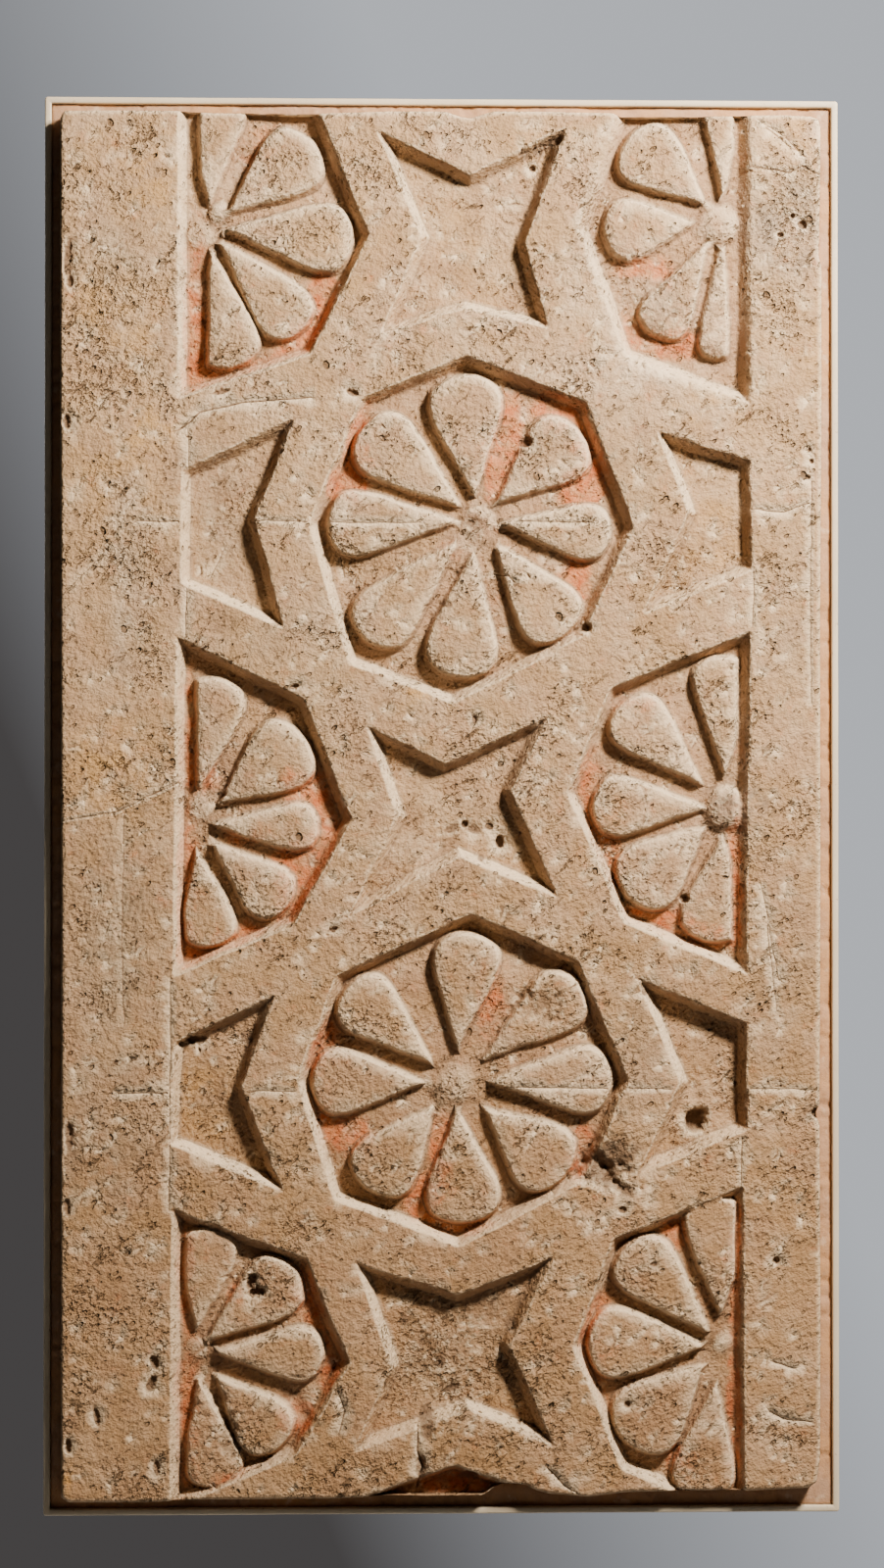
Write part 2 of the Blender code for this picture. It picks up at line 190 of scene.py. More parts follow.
# The slab's outline, clockwise in photo pixels
OUTLINE = (
    (66, 112), (120, 111.5), (181, 112), (215, 114), (320, 115), (400, 112.5), (455, 113), (469, 118),
    (480, 120), (492, 116), (505, 112.5), (560, 113), (625, 114.5), (634, 118), (700, 118), (760, 117),
    (800, 116.5), (828, 118), (836, 121), (838, 130), (837.5, 210), (836, 260), (839, 272), (839, 420),
    (837.5, 640), (838, 900), (837, 1128), (833, 1137), (837, 1148), (838, 1350), (837.5, 1490),
    (834, 1513), (826, 1519), (764, 1522), (700, 1522), (640, 1523.5), (600, 1528), (560, 1525),
    (546, 1521), (538, 1516), (512, 1515), (503, 1520), (494, 1527), (440, 1528), (400, 1527),
    (340, 1530), (200, 1531), (150, 1534), (70, 1534), (62, 1529), (61.5, 1400), (62, 900), (61, 400),
    (61, 122), (62.5, 115),
)

# Pits and holes: photo pixels, radii in pixels, turn in degrees, depth in millimetres, and for square
# ones the power of their outline
PITS = (
    (561, 146, 17, 5, 20, 9), (551, 152, 7, 6, 0, 10), (537, 155, 8, 4, 10, 8), (545, 168, 4, 4, 0, 15.5),
    (475, 840, 4, 4, 0, 15), (511, 859, 5, 8, 0, 17), (462, 845, 9, 5, 20, 13.5),
    (485, 846, 8, 5, -20, 13.5), (500, 843, 5, 4, 0, 13.5), (492, 876, 4, 4, 0, 9),
    (200, 1062, 13, 5, 10, 14.5), (187, 1067, 6, 4, 0, 11.5), (252, 1059, 6, 8, 30, 12.5),
    (712, 1145, 11.5, 13.5, 6, 24, 5), (699, 917, 5, 5, 0, 12), (640, 1434, 4, 4, 0, 5),
    (793, 1286, 4, 4, 0, 3.5), (225, 810, 6, 4, 0, 8), (597, 640, 7, 5, 0, 8), (158, 1390, 5, 8, 20, 3.5),
    (155, 1412, 5, 10, -25, 4.0), (160, 1498, 4, 8, 0, 3), (98, 1446, 4, 10, 10, 3), (69, 1476, 4, 8, 0, 4),
    (819, 228, 5, 5, 0, 5), (809, 219, 3, 3, 0, 4), (796, 239, 4, 3, 0, 4), (225, 400, 10, 3, 15, 2.5),
    (256, 1309, 5, 10, -20, 8, 3), (262, 1320, 10, 4.5, 12, 8.5, 3), (456, 616, 7, 4, -25, 3),
    (543, 562, 5, 3, -20, 2.5), (536, 450, 8, 7, 0, 9), (480, 533, 5, 4, 20, 8), (470, 528, 4, 3, 0, 7),
    (70, 262, 5, 24, 0, 3), (72, 286, 4, 7, 0, 3), (68, 430, 4, 9, 0, 3), (70, 1160, 5, 16, 0, 3.5),
    (68, 1232, 4, 10, 0, 3), (835, 1136, 7, 6, 0, 6), (484, 733, 3, 5, 0, 2.5), (826, 458, 3, 2, 60, 2.5),
    (828, 470, 2.5, 3, 20, 2.5), (825, 486, 3, 2.5, 0, 2.5), (604, 372, 4, 2, -40, 1.5),
    (594, 420, 5, 3, -30, 1.5), (436, 1452, 8, 20, 0, 3), (430, 1500, 6, 16, 5, 4),
    (520, 1522, 20, 8, 0, 8), (688, 321, 4, 3, 0, 4.5), (636, 1235, 5, 4, 0, 3), (478, 1508, 12, 6, 0, 14),
    (412, 1350, 5, 6, 0, 12), (450, 1392, 6, 7, 0, 13.5), (520, 1352, 6, 9, 0, 11.5),
    (462, 1419, 9, 5, 20, 13.5), (668, 1290, 4, 3, 0, 3), (660, 1012, 5, 4, 0, 4), (340, 948, 7, 3, 20, 3),
    (300, 700, 6, 3, 20, 3), (360, 400, 7, 4, -20, 3),
)

# Worn hollows with soft sides: photo pixels, radii in pixels, turn in degrees, depth in millimetres,
# how much darker they are painted
DENTS = (
    (616, 1198, 26, 19, -28, 9.0, 1.3), (626, 1180, 26, 24, 0, 3.0, 1.0), (636, 1214, 20, 8, -32, 4.0, 1.0),
    (606, 1184, 16, 18, 0, 3.0, 0.9), (548, 1026, 26, 17, 10, 2.6, 0.5), (536, 1018, 12, 8, -20, 2.2, 0.5),
    (560, 1040, 12, 7, 20, 2.0, 0.4), (258, 1314, 22, 18, 0, 2.0, 0.3), (740, 822, 22, 16, 0, 1.6, 0.4),
    (234, 1470, 12, 34, 12, 2.4, 0.6), (225, 1425, 10, 14, 0, 1.8, 0.5), (297, 1427, 22, 9, -12, 2.2, 0.5),
    (310, 1445, 10, 12, 0, 1.8, 0.5), (430, 1392, 18, 26, 10, 1.6, 0.3), (492, 1340, 26, 16, 0, 1.5, 0.3),
    (480, 532, 16, 12, 0, 1.6, 0.5), (225, 640, 14, 18, 0, 1.5, 0.3), (662, 335, 22, 14, 0, 1.8, 0.4),
    (730, 358, 14, 12, 0, 1.6, 0.4), (792, 150, 30, 12, 12, 0.8, 0.1), (826, 1136, 12, 9, 0, 2.5, 0.6),
    (72, 1188, 8, 26, 0, 1.8, 0.5), (74, 1444, 7, 20, 0, 1.6, 0.4), (828, 1190, 12, 16, 0, 1.2, 0.2),
    (830, 1270, 12, 14, 0, 1.4, 0.3), (786, 1148, 22, 7, -16, 1.0, 0.3), (748, 1188, 12, 6, 10, 1.4, 0.4),
    (340, 1180, 20, 10, 30, 0.9, 0.2), (232, 905, 14, 10, 0, 0.9, 0.3), (588, 560, 22, 9, 0, 0.8, 0.2),
)

# Cracks and scored lines: photo pixels along them, half width and depth in millimetres
LINES = (
    (((182, 439), (195, 429), (204, 420), (230, 415), (247, 411), (280, 408), (320, 404)), 0.8, 1.6),
    (((140, 532), (182, 531)), 0.5, 0.7), (((262, 531), (312, 532)), 0.5, 0.8),
    (((338, 532.5), (420, 533)), 0.5, 0.9), (((531, 532), (605, 532.5)), 0.5, 0.9),
    (((121, 1116), (172, 1115)), 0.5, 0.7), (((262, 1113), (300, 1114)), 0.5, 0.7),
    (((515, 1110), (620, 1111)), 0.5, 0.9), (((643, 1111), (686, 1111)), 0.5, 0.7),
    (((767, 1111), (838, 1112)), 0.5, 0.7), (((192, 440), (192, 480)), 0.5, 0.6),
    (((190, 600), (189, 650)), 0.5, 0.6), (((174, 1000), (173, 1240)), 0.5, 0.6),
    (((769, 580), (768, 640)), 0.5, 0.6), (((757, 1160), (757, 1210)), 0.5, 0.6),
    (((773, 519), (800, 523), (814, 517), (826, 512)), 0.6, 1.2),
    (((766, 170), (790, 173), (806, 176), (820, 170), (838, 178)), 0.8, 1.2),
    (((62, 838), (95, 832), (120, 828), (150, 812), (180, 800)), 0.7, 0.9),
    (((427, 1455), (426, 1480), (431, 1498), (427, 1520)), 0.9, 2.2),
    (((560, 1500), (575, 1515), (590, 1524)), 0.7, 1.4), (((345, 1420), (352, 1440), (347, 1460)), 0.6, 1.2),
    (((829, 490), (827, 600), (829, 720)), 0.5, 0.5), (((127, 830), (124, 940), (127, 1045)), 0.5, 0.25),
    (((775, 122), (800, 140), (822, 160)), 0.4, 0.6), (((782, 130), (808, 152)), 0.4, 0.4),
    (((778, 905), (795, 1000)), 0.4, 0.6), (((782, 930), (792, 1030)), 0.4, 0.5),
    (((786, 1440), (800, 1447), (830, 1452)), 0.6, 1.2), (((790, 1390), (812, 1396)), 0.5, 1.0),
    (((228, 560), (214, 590)), 0.4, 0.5), (((70, 600), (110, 560), (140, 500)), 0.35, 0.3),
    (((345, 560), (352, 590)), 0.4, 0.5), (((505, 585), (520, 588), (527, 596)), 0.6, 1.3),
)

# Rough or broken ground: photo pixels, radii in pixels, height of the roughness in millimetres
ROUGH = (
    (462, 1390, 70, 70, 1.9), (455, 830, 45, 40, 1.0), (390, 900, 40, 40, 1.0), (620, 1192, 28, 32, 2.4),
    (487, 531, 26, 20, 1.4),
    (802, 235, 42, 62, 0.9), (802, 400, 38, 110, 0.45), (100, 160, 45, 50, 0.4), (500, 1470, 70, 35, 1.0),
    (460, 1520, 110, 20, 1.4), (545, 1025, 50, 35, 1.2), (740, 825, 36, 34, 1.5), (770, 818, 26, 18, 0.8),
    (215, 1110, 40, 50, 1.0), (730, 1110, 40, 50, 1.1), (220, 540, 40, 50, 0.8), (215, 1450, 55, 60, 1.2),
    (670, 310, 50, 55, 1.3), (255, 1300, 50, 40, 1.2), (680, 1500, 70, 28, 1.2), (800, 1400, 40, 110, 0.5),
    (110, 1300, 50, 200, 0.35), (150, 435, 35, 20, 0.5), (330, 980, 45, 25, 0.5), (590, 300, 40, 70, 0.5),
    (480, 245, 40, 60, 0.4), (620, 250, 35, 60, 0.9),
)

# Steps between layers: polyline in photo pixels, how much lower the side below it lies, and how far
# down the lower layer fades back, in pixels
LAYERS = (
    ((60, 838), (95, 832), (120, 828), (185, 800), 0.8, 240),
    ((764, 170), (790, 173), (815, 170), (842, 180), 1.3, 130),
)

# Remains of orange-red pigment: photo pixels, radii in pixels, strength
PIGMENT = (
    (255, 385, 75, 24, 1.0), (200, 340, 18, 70, 0.6), (328, 310, 20, 45, 1.0), (310, 350, 30, 25, 0.9),
    (200, 262, 20, 20, 0.4), (270, 150, 26, 40, 0.35), (362, 450, 20, 60, 0.9), (350, 495, 22, 20, 0.9),
    (518, 440, 18, 48, 1.0), (504, 480, 12, 35, 0.9), (575, 415, 38, 22, 1.0), (600, 470, 20, 45, 0.9),
    (590, 500, 28, 20, 0.8), (590, 590, 18, 28, 0.8), (455, 560, 16, 14, 0.3), (300, 905, 26, 50, 1.1),
    (325, 850, 22, 60, 1.0), (245, 968, 62, 24, 1.1), (190, 920, 16, 90, 0.8), (190, 760, 16, 90, 0.5),
    (300, 800, 26, 22, 0.9), (255, 850, 30, 12, 0.7), (212, 780, 14, 40, 0.5), (452, 1180, 14, 48, 1.0),
    (430, 1222, 20, 28, 1.0), (596, 1180, 16, 36, 0.9), (355, 1160, 28, 20, 1.0), (325, 1062, 20, 34, 0.9),
    (500, 1020, 20, 45, 0.6), (470, 1252, 50, 12, 0.7), (330, 1120, 12, 40, 0.6), (612, 880, 28, 66, 1.0),
    (660, 944, 48, 20, 1.1), (750, 900, 10, 80, 0.8), (650, 720, 30, 14, 0.5), (720, 955, 40, 18, 1.0),
    (600, 790, 16, 40, 0.5), (606, 1360, 22, 45, 1.0), (690, 1262, 18, 20, 0.8), (694, 1494, 12, 20, 0.9),
    (752, 1300, 10, 90, 0.8), (752, 1450, 10, 70, 0.8), (610, 1420, 16, 50, 0.5), (320, 1320, 22, 45, 0.8),
    (338, 1400, 16, 40, 0.7), (190, 1300, 16, 60, 0.6), (190, 1440, 16, 80, 0.7), (300, 1450, 30, 24, 0.7),
    (250, 1510, 55, 14, 0.9), (660, 270, 40, 18, 0.5), (640, 340, 30, 26, 0.5), (690, 350, 36, 22, 0.7),
    (465, 1512, 45, 14, 1.2), (545, 170, 12, 20, 0.4), (240, 1330, 12, 30, 0.6), (265, 290, 8, 40, 0.3),
)

# Zones of colour on the plaster: photo pixels, radii in pixels, strength
OCHRE_ZONES = (
    (150, 180, 40, 60, 0.7), (110, 330, 50, 70, 0.55), (160, 435, 34, 24, 0.8), (120, 480, 50, 60, 0.5),
    (110, 780, 50, 60, 0.6), (425, 711, 16, 9, 1.2), (68, 1508, 12, 22, 1.2), (720, 420, 40, 30, 0.6),
    (735, 540, 34, 50, 0.6), (810, 140, 34, 24, 0.6), (210, 1130, 40, 50, 0.6), (360, 260, 40, 60, 0.35),
    (470, 250, 60, 70, 0.3), (560, 150, 40, 24, 0.4), (830, 340, 12, 90, 0.5), (100, 150, 30, 30, 0.4),
)
GREY_ZONES = (
    (802, 230, 44, 66, 0.9), (120, 250, 30, 60, 0.35), (225, 530, 34, 60, 0.45), (120, 950, 60, 110, 0.5),
    (110, 1150, 50, 120, 0.4), (130, 620, 24, 110, 0.4), (565, 455, 40, 40, 0.5), (670, 300, 36, 40, 0.6),
    (742, 828, 30, 34, 0.9), (772, 820, 24, 16, 0.7), (300, 660, 60, 40, 0.3), (660, 1060, 40, 70, 0.35),
    (470, 640, 40, 50, 0.25), (800, 1000, 36, 120, 0.35), (200, 470, 40, 30, 0.3), (380, 470, 40, 40, 0.2),
    (230, 800, 40, 60, 0.25), (640, 480, 40, 80, 0.25), (800, 620, 36, 100, 0.3),
)
PITTED_ZONES = (
    (110, 240, 55, 130, 1.0), (285, 172, 34, 34, 1.6), (312, 240, 40, 22, 1.8), (100, 400, 40, 70, 1.0),
    (480, 410, 30, 50, 0.9), (560, 460, 36, 34, 1.2), (802, 230, 40, 64, 1.6), (250, 770, 40, 40, 0.8),
    (800, 420, 34, 110, 0.7), (110, 560, 40, 90, 0.5), (610, 200, 30, 60, 0.6), (420, 345, 60, 30, 0.6),
    (570, 540, 50, 20, 0.7), (660, 160, 34, 34, 0.8), (360, 620, 40, 40, 0.5), (110, 1250, 50, 200, 0.6),
    (262, 1300, 40, 30, 0.9), (450, 1400, 70, 50, 1.2), (570, 1020, 50, 40, 0.6), (700, 1460, 60, 50, 0.5),
    (230, 1480, 50, 50, 0.8), (460, 1230, 60, 40, 0.4), (640, 830, 60, 60, 0.4),
)
# The pale zones lie mostly along walls that face the key light: painted highlight, with some paler plaster
PALE_AND_LIT_ZONES = (
    (186, 250, 10, 150, 0.8), (190, 130, 12, 30, 0.8), (490, 330, 60, 16, 0.5), (640, 385, 90, 26, 0.6),
    (660, 360, 60, 24, 0.5), (835, 140, 8, 24, 1.0), (125, 620, 10, 90, 0.5), (400, 340, 24, 12, 0.6),
    (340, 640, 24, 50, 0.5), (440, 700, 70, 16, 0.6), (420, 870, 40, 24, 0.6), (330, 1200, 30, 30, 0.4),
    (205, 205, 18, 40, 0.5), (420, 1130, 14, 14, 0.6), (470, 560, 20, 16, 0.7), (640, 300, 50, 60, 0.3),
    (590, 280, 20, 60, 0.4), (190, 600, 14, 14, 0.6), (450, 1440, 40, 14, 0.4), (430, 250, 12, 70, 0.3),
)


def on_plane(pixels, plane_y=FACE_Y):
    """Places (x, z) where the camera's rays through photo pixels meet an upright plane.

    A pixel gives a ray in camera space. It is tilted by the pitch, turned by the yaw and followed from
    the camera to the plane.
    """
    pixels = np.atleast_2d(np.asarray(pixels, float))
    across = (pixels[:, 0] - PHOTO_WIDTH / 2) / FOCAL_PIXELS
    up = (PHOTO_HEIGHT / 2 - pixels[:, 1]) / FOCAL_PIXELS
    tilted_up = math.cos(CAMERA_PITCH) * up + math.sin(CAMERA_PITCH)
    forward = math.cos(CAMERA_PITCH) - math.sin(CAMERA_PITCH) * up
    ray_x = math.cos(CAMERA_YAW) * across + math.sin(CAMERA_YAW) * forward
    ray_y = math.cos(CAMERA_YAW) * forward - math.sin(CAMERA_YAW) * across
    reach = (plane_y - CAMERA_PLACE[1]) / ray_y
    return np.stack([CAMERA_PLACE[0] + reach * ray_x, CAMERA_PLACE[2] + reach * tilted_up], axis=1)


# Width of one photo pixel on the slab's face, in metres
PIXEL = float(np.linalg.norm(on_plane((460, 800))[0] - on_plane((450, 800))[0]) / 10)


def scatter(ix, iz, seed):
    """A steady pseudo-random number from 0 to 1 for each pair of whole numbers, by mixing their bits."""
    mixed = ix.astype(np.int64) * 374761393 + iz.astype(np.int64) * 668265263 + seed * 1442695041
    mixed = mixed & 0xFFFFFFFF
    mixed = ((mixed ^ (mixed >> 13)) * 1274126177) & 0xFFFFFFFF
    mixed = ((mixed ^ (mixed >> 16)) * 2246822519) & 0xFFFFFFFF
    return ((mixed ^ (mixed >> 15)) & 0xFFFFFF) / float(0xFFFFFF)


def noise(points, size, seed):
    """Smooth noise from -1 to 1: random values on a square lattice of a given size, eased between."""
    u = points[:, 0] / size + 0.37 * seed
    v = points[:, 1] / size - 0.61 * seed
    iu, iv = np.floor(u), np.floor(v)
    fu, fv = u - iu, v - iv
    fu = fu * fu * fu * (fu * (fu * 6 - 15) + 10)
    fv = fv * fv * fv * (fv * (fv * 6 - 15) + 10)
    low = scatter(iu, iv, seed) * (1 - fu) + scatter(iu + 1, iv, seed) * fu
    high = scatter(iu, iv + 1, seed) * (1 - fu) + scatter(iu + 1, iv + 1, seed) * fu
    return 2 * (low * (1 - fv) + high * fv) - 1


def smooth_max(a, b, blend):
    """The larger of two values, with the change from one to the other rounded over a blend width."""
    share = np.maximum(blend - np.abs(a - b), 0) / blend
    return np.maximum(a, b) + share * share * blend / 4


def smooth_min(a, b, blend):
    """The smaller of two values, with the change from one to the other rounded over a blend width."""
    return -smooth_max(-a, -b, blend)


def ease(value):
    """Zero below 0, one above 1, and 3t^2 - 2t^3 between."""
    t = np.clip(value, 0, 1)
    return t * t * (3 - 2 * t)


def past(values, gain):
    """Values times a gain, less a threshold, held between zero and one."""
    return np.clip(values * gain[0] - gain[1], 0, 1)


def ramp(share, top_round, foot_round):
    """Zero, then a straight slope, then one, with the slope's top and foot rounded."""
    return smooth_min(smooth_max(share, 0.0, top_round), 1.0, foot_round)


def turned_about(points, pixel, turn):
    """Offsets of points from a photo pixel's place, along and across a direction turned by degrees."""
    middle = on_plane(pixel)[0]
    c, s = math.cos(math.radians(turn)), math.sin(math.radians(turn))
    dx, dz = points[:, 0] - middle[0], points[:, 1] - middle[1]
    return dx * c + dz * s, dz * c - dx * s


def raised(loop, y):
    """Corners in space from places (x, z) and their depth, one for all or one for each."""
    return np.stack([loop[:, 0], np.broadcast_to(y, len(loop)), loop[:, 1]], axis=1)


class Recess:
    """A recess mouth: straight sides that are joined by the nearer at outer corners and by the farther
    at corners that point inwards, so that walls keep crisp mitres."""

    def __init__(self, name, corners, run, wear, depth):
        self.name = name
        self.corners = on_plane(corners)
        self.run = run * WALL_RUN
        self.wear = wear
        self.depth = depth * RELIEF_DEPTH
        count = len(self.corners)
        ahead = np.roll(self.corners, -1, axis=0) - self.corners
        area = np.sum(self.corners[:, 0] * np.roll(self.corners[:, 1], -1)
                      - np.roll(self.corners[:, 0], -1) * self.corners[:, 1])
        turn = 1.0 if area > 0 else -1.0
        self.lengths = np.linalg.norm(ahead, axis=1)
        self.along = ahead / self.lengths[:, None]
        self.inward = turn * np.stack([-self.along[:, 1], self.along[:, 0]], axis=1)
        before = np.roll(self.along, 1, axis=0)
        bend = turn * (before[:, 0] * self.along[:, 1] - before[:, 1] * self.along[:, 0])
        self.groups = [(i,) for i in range(count) if bend[i] >= 0 and bend[(i + 1) % count] >= 0]
        self.groups += [((i - 1) % count, i) for i in range(count) if bend[i] < 0]
        self.low = self.corners.min(axis=0) - MOUTH_MARGIN
        self.high = self.corners.max(axis=0) + MOUTH_MARGIN

    def near(self, points):
        """Which points lie in the box around the recess."""
        return np.all((points > self.low) & (points < self.high), axis=1)

    def inside(self, points):
        """How far inside the mouth each point lies, negative outside it."""
        result = None
        for group in self.groups:
            sides = [(points - self.corners[i]) @ self.inward[i] for i in group]
            part = sides[0] if len(sides) == 1 else smooth_max(sides[0], sides[1], 0.6 * MM)
            result = part if result is None else smooth_min(result, part, 1.2 * MM)
        return result


class Petal:
    """A petal in its rosette: two straight sides from a sharp start and a rounded end."""

    def __init__(self, centre, cuts, angle, reach, start, half_width, drop, soft):
        self.centre = on_plane(centre)[0]
        self.axis = np.array([math.cos(math.radians(angle)), math.sin(math.radians(angle))])
        self.side = np.array([-self.axis[1], self.axis[0]])
        self.reach = reach * PIXEL
        self.start = start * PIXEL
        self.half = half_width * PIXEL
        widest = self.reach - PETAL_WIDEST * self.half
        self.slant = math.atan2(self.half * PETAL_FLARE, widest - self.start)
        self.end_radius = PETAL_END * self.half
        self.drop = drop * MM
        self.soft = soft
        self.bevel = PETAL_BEVEL * (0.75 + 0.25 * soft)
        self.tilt = (PETAL_LEAN[0] * math.sin(7.3 * angle + 0.13 * reach),
                     PETAL_LEAN[1] * math.cos(3.1 * angle + 0.31 * reach))
        self.cut = None
        if cuts[0] is not None:
            at_x = cuts[0] if self.axis[1] > 0 else cuts[1]
            sign = 1.0 if centre[0] < PHOTO_WIDTH / 2 else -1.0
            self.cut = (on_plane((at_x, centre[1]))[0][0], sign)

    def top(self, points):
        """Depth of the petal's top, which leans a little one way or another."""
        local = points - self.centre
        lean = (local @ self.axis - 0.6 * self.reach) * self.tilt[0] + (local @ self.side) * self.tilt[1]
        return self.drop + np.maximum(lean + 0.4 * MM, -0.3 * self.drop)

    def outside(self, points):
        """How far outside the petal's flat top each point lies, negative on the top."""
        local = points - self.centre
        u = local @ self.axis
        v = local @ self.side
        side = np.abs(v) * math.cos(self.slant) - (u - self.start) * math.sin(self.slant)
        end = np.hypot(np.maximum(u - self.reach + self.end_radius, 0), v) - self.end_radius
        field = smooth_max(side, end, PETAL_BLEND * self.half)
        if self.cut:
            field = smooth_max(field, self.cut[1] * (self.cut[0] - points[:, 0]), 1.5 * MM)
        return field


RECESS_LIST = [Recess(name, *values) for name, values in RECESSES.items()]
PETAL_LISTS = {
    name: [Petal(centre, (cut_up, cut_down), *values) for values in petals]
    for name, (centre, cut_up, cut_down, petals) in ROSETTES.items()
}


def blobs(points, patches, most):
    """Sum of soft ellipses given in photo pixels, held to a highest value: each fades from its strength
    at the middle to zero at about its radii."""
    total = np.zeros(len(points))
    for px, py, rx, ry, strength in patches:
        middle = on_plane((px, py))[0]
        away = (((points[:, 0] - middle[0]) / (rx * PIXEL)) ** 2
                + ((points[:, 1] - middle[1]) / (ry * PIXEL)) ** 2)
        total += strength * np.exp(-1.4 * away ** 1.5)
    return np.clip(total, 0, most)


def carving(points):
    """Depth of the carving below the face, with masks for grounds and octagons.

    Inside a recess the depth follows the wall's slope down to the ground. A petal keeps the ground up
    to its own flat top and slopes down around it. The shallower of the two is what is left standing.
    """
    depth, ground, octagon = np.zeros((3, len(points)))
    for recess in RECESS_LIST:
        pick = np.flatnonzero(recess.near(points))
        here = points[pick]
        inside = recess.inside(here)
        worn = (1.1 * ease((noise(here, 4.6 * MM, 91) - 0.25) / 0.5)
                + 1.3 * ease((noise(here, 11 * MM, 92) - 0.35) / 0.4))
        wall = ramp(inside / recess.run, 0.5 * recess.wear * (0.7 + worn), 0.1)
        wall = np.where(inside < -1.2 * MM, 0.0, wall)
        floor = np.full(len(here), recess.depth)
        if recess.name in ROSETTES:
            centre = on_plane(ROSETTES[recess.name][0])[0]
            away = np.hypot(here[:, 0] - centre[0], here[:, 1] - centre[1]) / PIXEL
            floor = floor * (FLOOR_AT_HUB + (1 - FLOOR_AT_HUB) * ease((away - 90) / 80))
        level = floor * wall
        standing = level.copy()
        for hub, radius, hub_depth in HUBS:
            middle = on_plane(hub)[0]
            away = np.hypot(here[:, 0] - middle[0], here[:, 1] - middle[1])
            mound = hub_depth * MM + (recess.depth - hub_depth * MM) * ease(away / (radius * PIXEL) - 0.35)
            standing = np.minimum(standing, mound)
        for petal in PETAL_LISTS.get(recess.name, ()):
            out = petal.outside(here)
            bevel = ramp(out / petal.bevel, 0.085 * petal.soft ** 2 * (0.7 + worn), 0.12)
            crown = 0.35 * MM * ease(1 + out / (5 * MM)) * petal.soft ** 2
            own_top = petal.top(here) + crown
            top = own_top + (recess.depth - own_top) * bevel
            standing = smooth_min(standing, top, 0.5 * MM)
        standing = np.maximum(np.minimum(standing, level + 0.2 * MM), 0)
        depth[pick] = np.maximum(depth[pick], standing)
        ground[pick] = np.maximum(ground[pick], ease((standing / floor - 0.72) / 0.25))
        if recess.name.startswith("octagon"):
            octagon[pick] = np.maximum(octagon[pick], ease(inside / (2 * MM)))
    return depth, ground, octagon


def polyline_distance(points, line):
    """Distance from each point to the nearest place on a line of straight stretches."""
    best = np.full(len(points), 1.0)
    for a, b in zip(line[:-1], line[1:]):
        span = b - a
        t = np.clip(((points - a) @ span) / (span @ span), 0, 1)
        best = np.minimum(best, np.linalg.norm(points - a - t[:, None] * span, axis=1))
    return best


def damage(points, depth):
    """Depth with roughness, pits, worn hollows, cracks and broken layers added, and a mask of how
    much darker the pits, worn hollows and cracks are painted."""
    dark = np.zeros(len(points))
    grain = (0.55 * np.abs(noise(points, 7 * MM, 11)) + 0.45 * np.abs(noise(points, 3.2 * MM, 12))
             + 0.5 * ease(noise(points, 13 * MM, 13)))
    depth = depth + blobs(points, ROUGH, 3.5) * MM * grain
    for px, py, rx, ry, turn, deep, *square in PITS:
        along, across = turned_about(points, (px, py), turn)
        power = square[0] if square else 2
        away = (np.abs(along / (rx * PIXEL)) ** power + np.abs(across / (ry * PIXEL)) ** power) ** (1 / power)
        away = away * (1 + 0.12 * noise(points, 2.6 * MM, 14))
        hollow = 1 - ease((away - 0.65) / 0.4)
        depth = depth + np.maximum(deep * MM - depth, 0) * hollow
        dark = np.maximum(dark, hollow)
    for px, py, rx, ry, turn, deep, darkening in DENTS:
        along, across = turned_about(points, (px, py), turn)
        away = np.hypot(along / (rx * PIXEL), across / (ry * PIXEL))
        away = away * (1 + 0.3 * noise(points, 5 * MM, 15) + 0.2 * noise(points, 2.3 * MM, 16))
        hollow = 1 - ease(away / 1.15)
        depth = depth + deep * MM * hollow * (1 + 0.35 * noise(points, 2.8 * MM, 17))
        dark = np.maximum(dark, np.minimum(darkening * ease(hollow / 0.6), 1))
    for line, half, deep in LINES:
        groove = 1 - ease(polyline_distance(points, on_plane(line)) / (half * MM))
        depth = depth + deep * MM * groove
        dark = np.maximum(dark, 0.8 * groove)
    for *path, drop, fade in LAYERS:
        line = on_plane(path)
        edge_z = np.interp(points[:, 0], line[:, 0], line[:, 1])
        below = (edge_z + 1.5 * MM * noise(points, 6 * MM, 21) - points[:, 1]) / PIXEL
        on_margin = (points[:, 0] > line[0, 0] - 2 * MM) & (points[:, 0] < line[-1, 0] + 2 * MM)
        depth = depth + np.where(on_margin, drop * MM * ease(below / 2.5) * (1 - ease(below / fade)), 0)
    return depth, dark


def outline_distance(points, outline):
    """How far inside a closed outline each point lies, from the nearest of its straight stretches."""
    closed = np.vstack([outline, outline[:1]])
    away = polyline_distance(points, closed)
    inside = np.zeros(len(points), bool)
    for a, b in zip(closed[:-1], closed[1:]):
        crosses = (a[1] > points[:, 1]) != (b[1] > points[:, 1])
        height = np.where(b[1] == a[1], 1.0, b[1] - a[1])
        at = a[0] + (points[:, 1] - a[1]) * (b[0] - a[0]) / height
        inside ^= crosses & (points[:, 0] < at)
    return np.where(inside, away, -away)


def resample(loop, step):
    """Points at an even step along a closed outline."""
    closed = np.vstack([loop, loop[:1]])
    lengths = np.concatenate([[0], np.cumsum(np.linalg.norm(np.diff(closed, axis=0), axis=1))])
    places = np.arange(0, lengths[-1] - step / 2, step)
    return np.stack([np.interp(places, lengths, closed[:, i]) for i in (0, 1)], axis=1)


def warp(points):
    """Small sideways wander of the carved edges, so that no side is quite straight."""
    shift = np.stack([0.55 * noise(points, 17 * MM, seed) + 0.28 * noise(points, 6 * MM, seed + 1)
                      for seed in (31, 33)], axis=1)
    return points + shift * MM


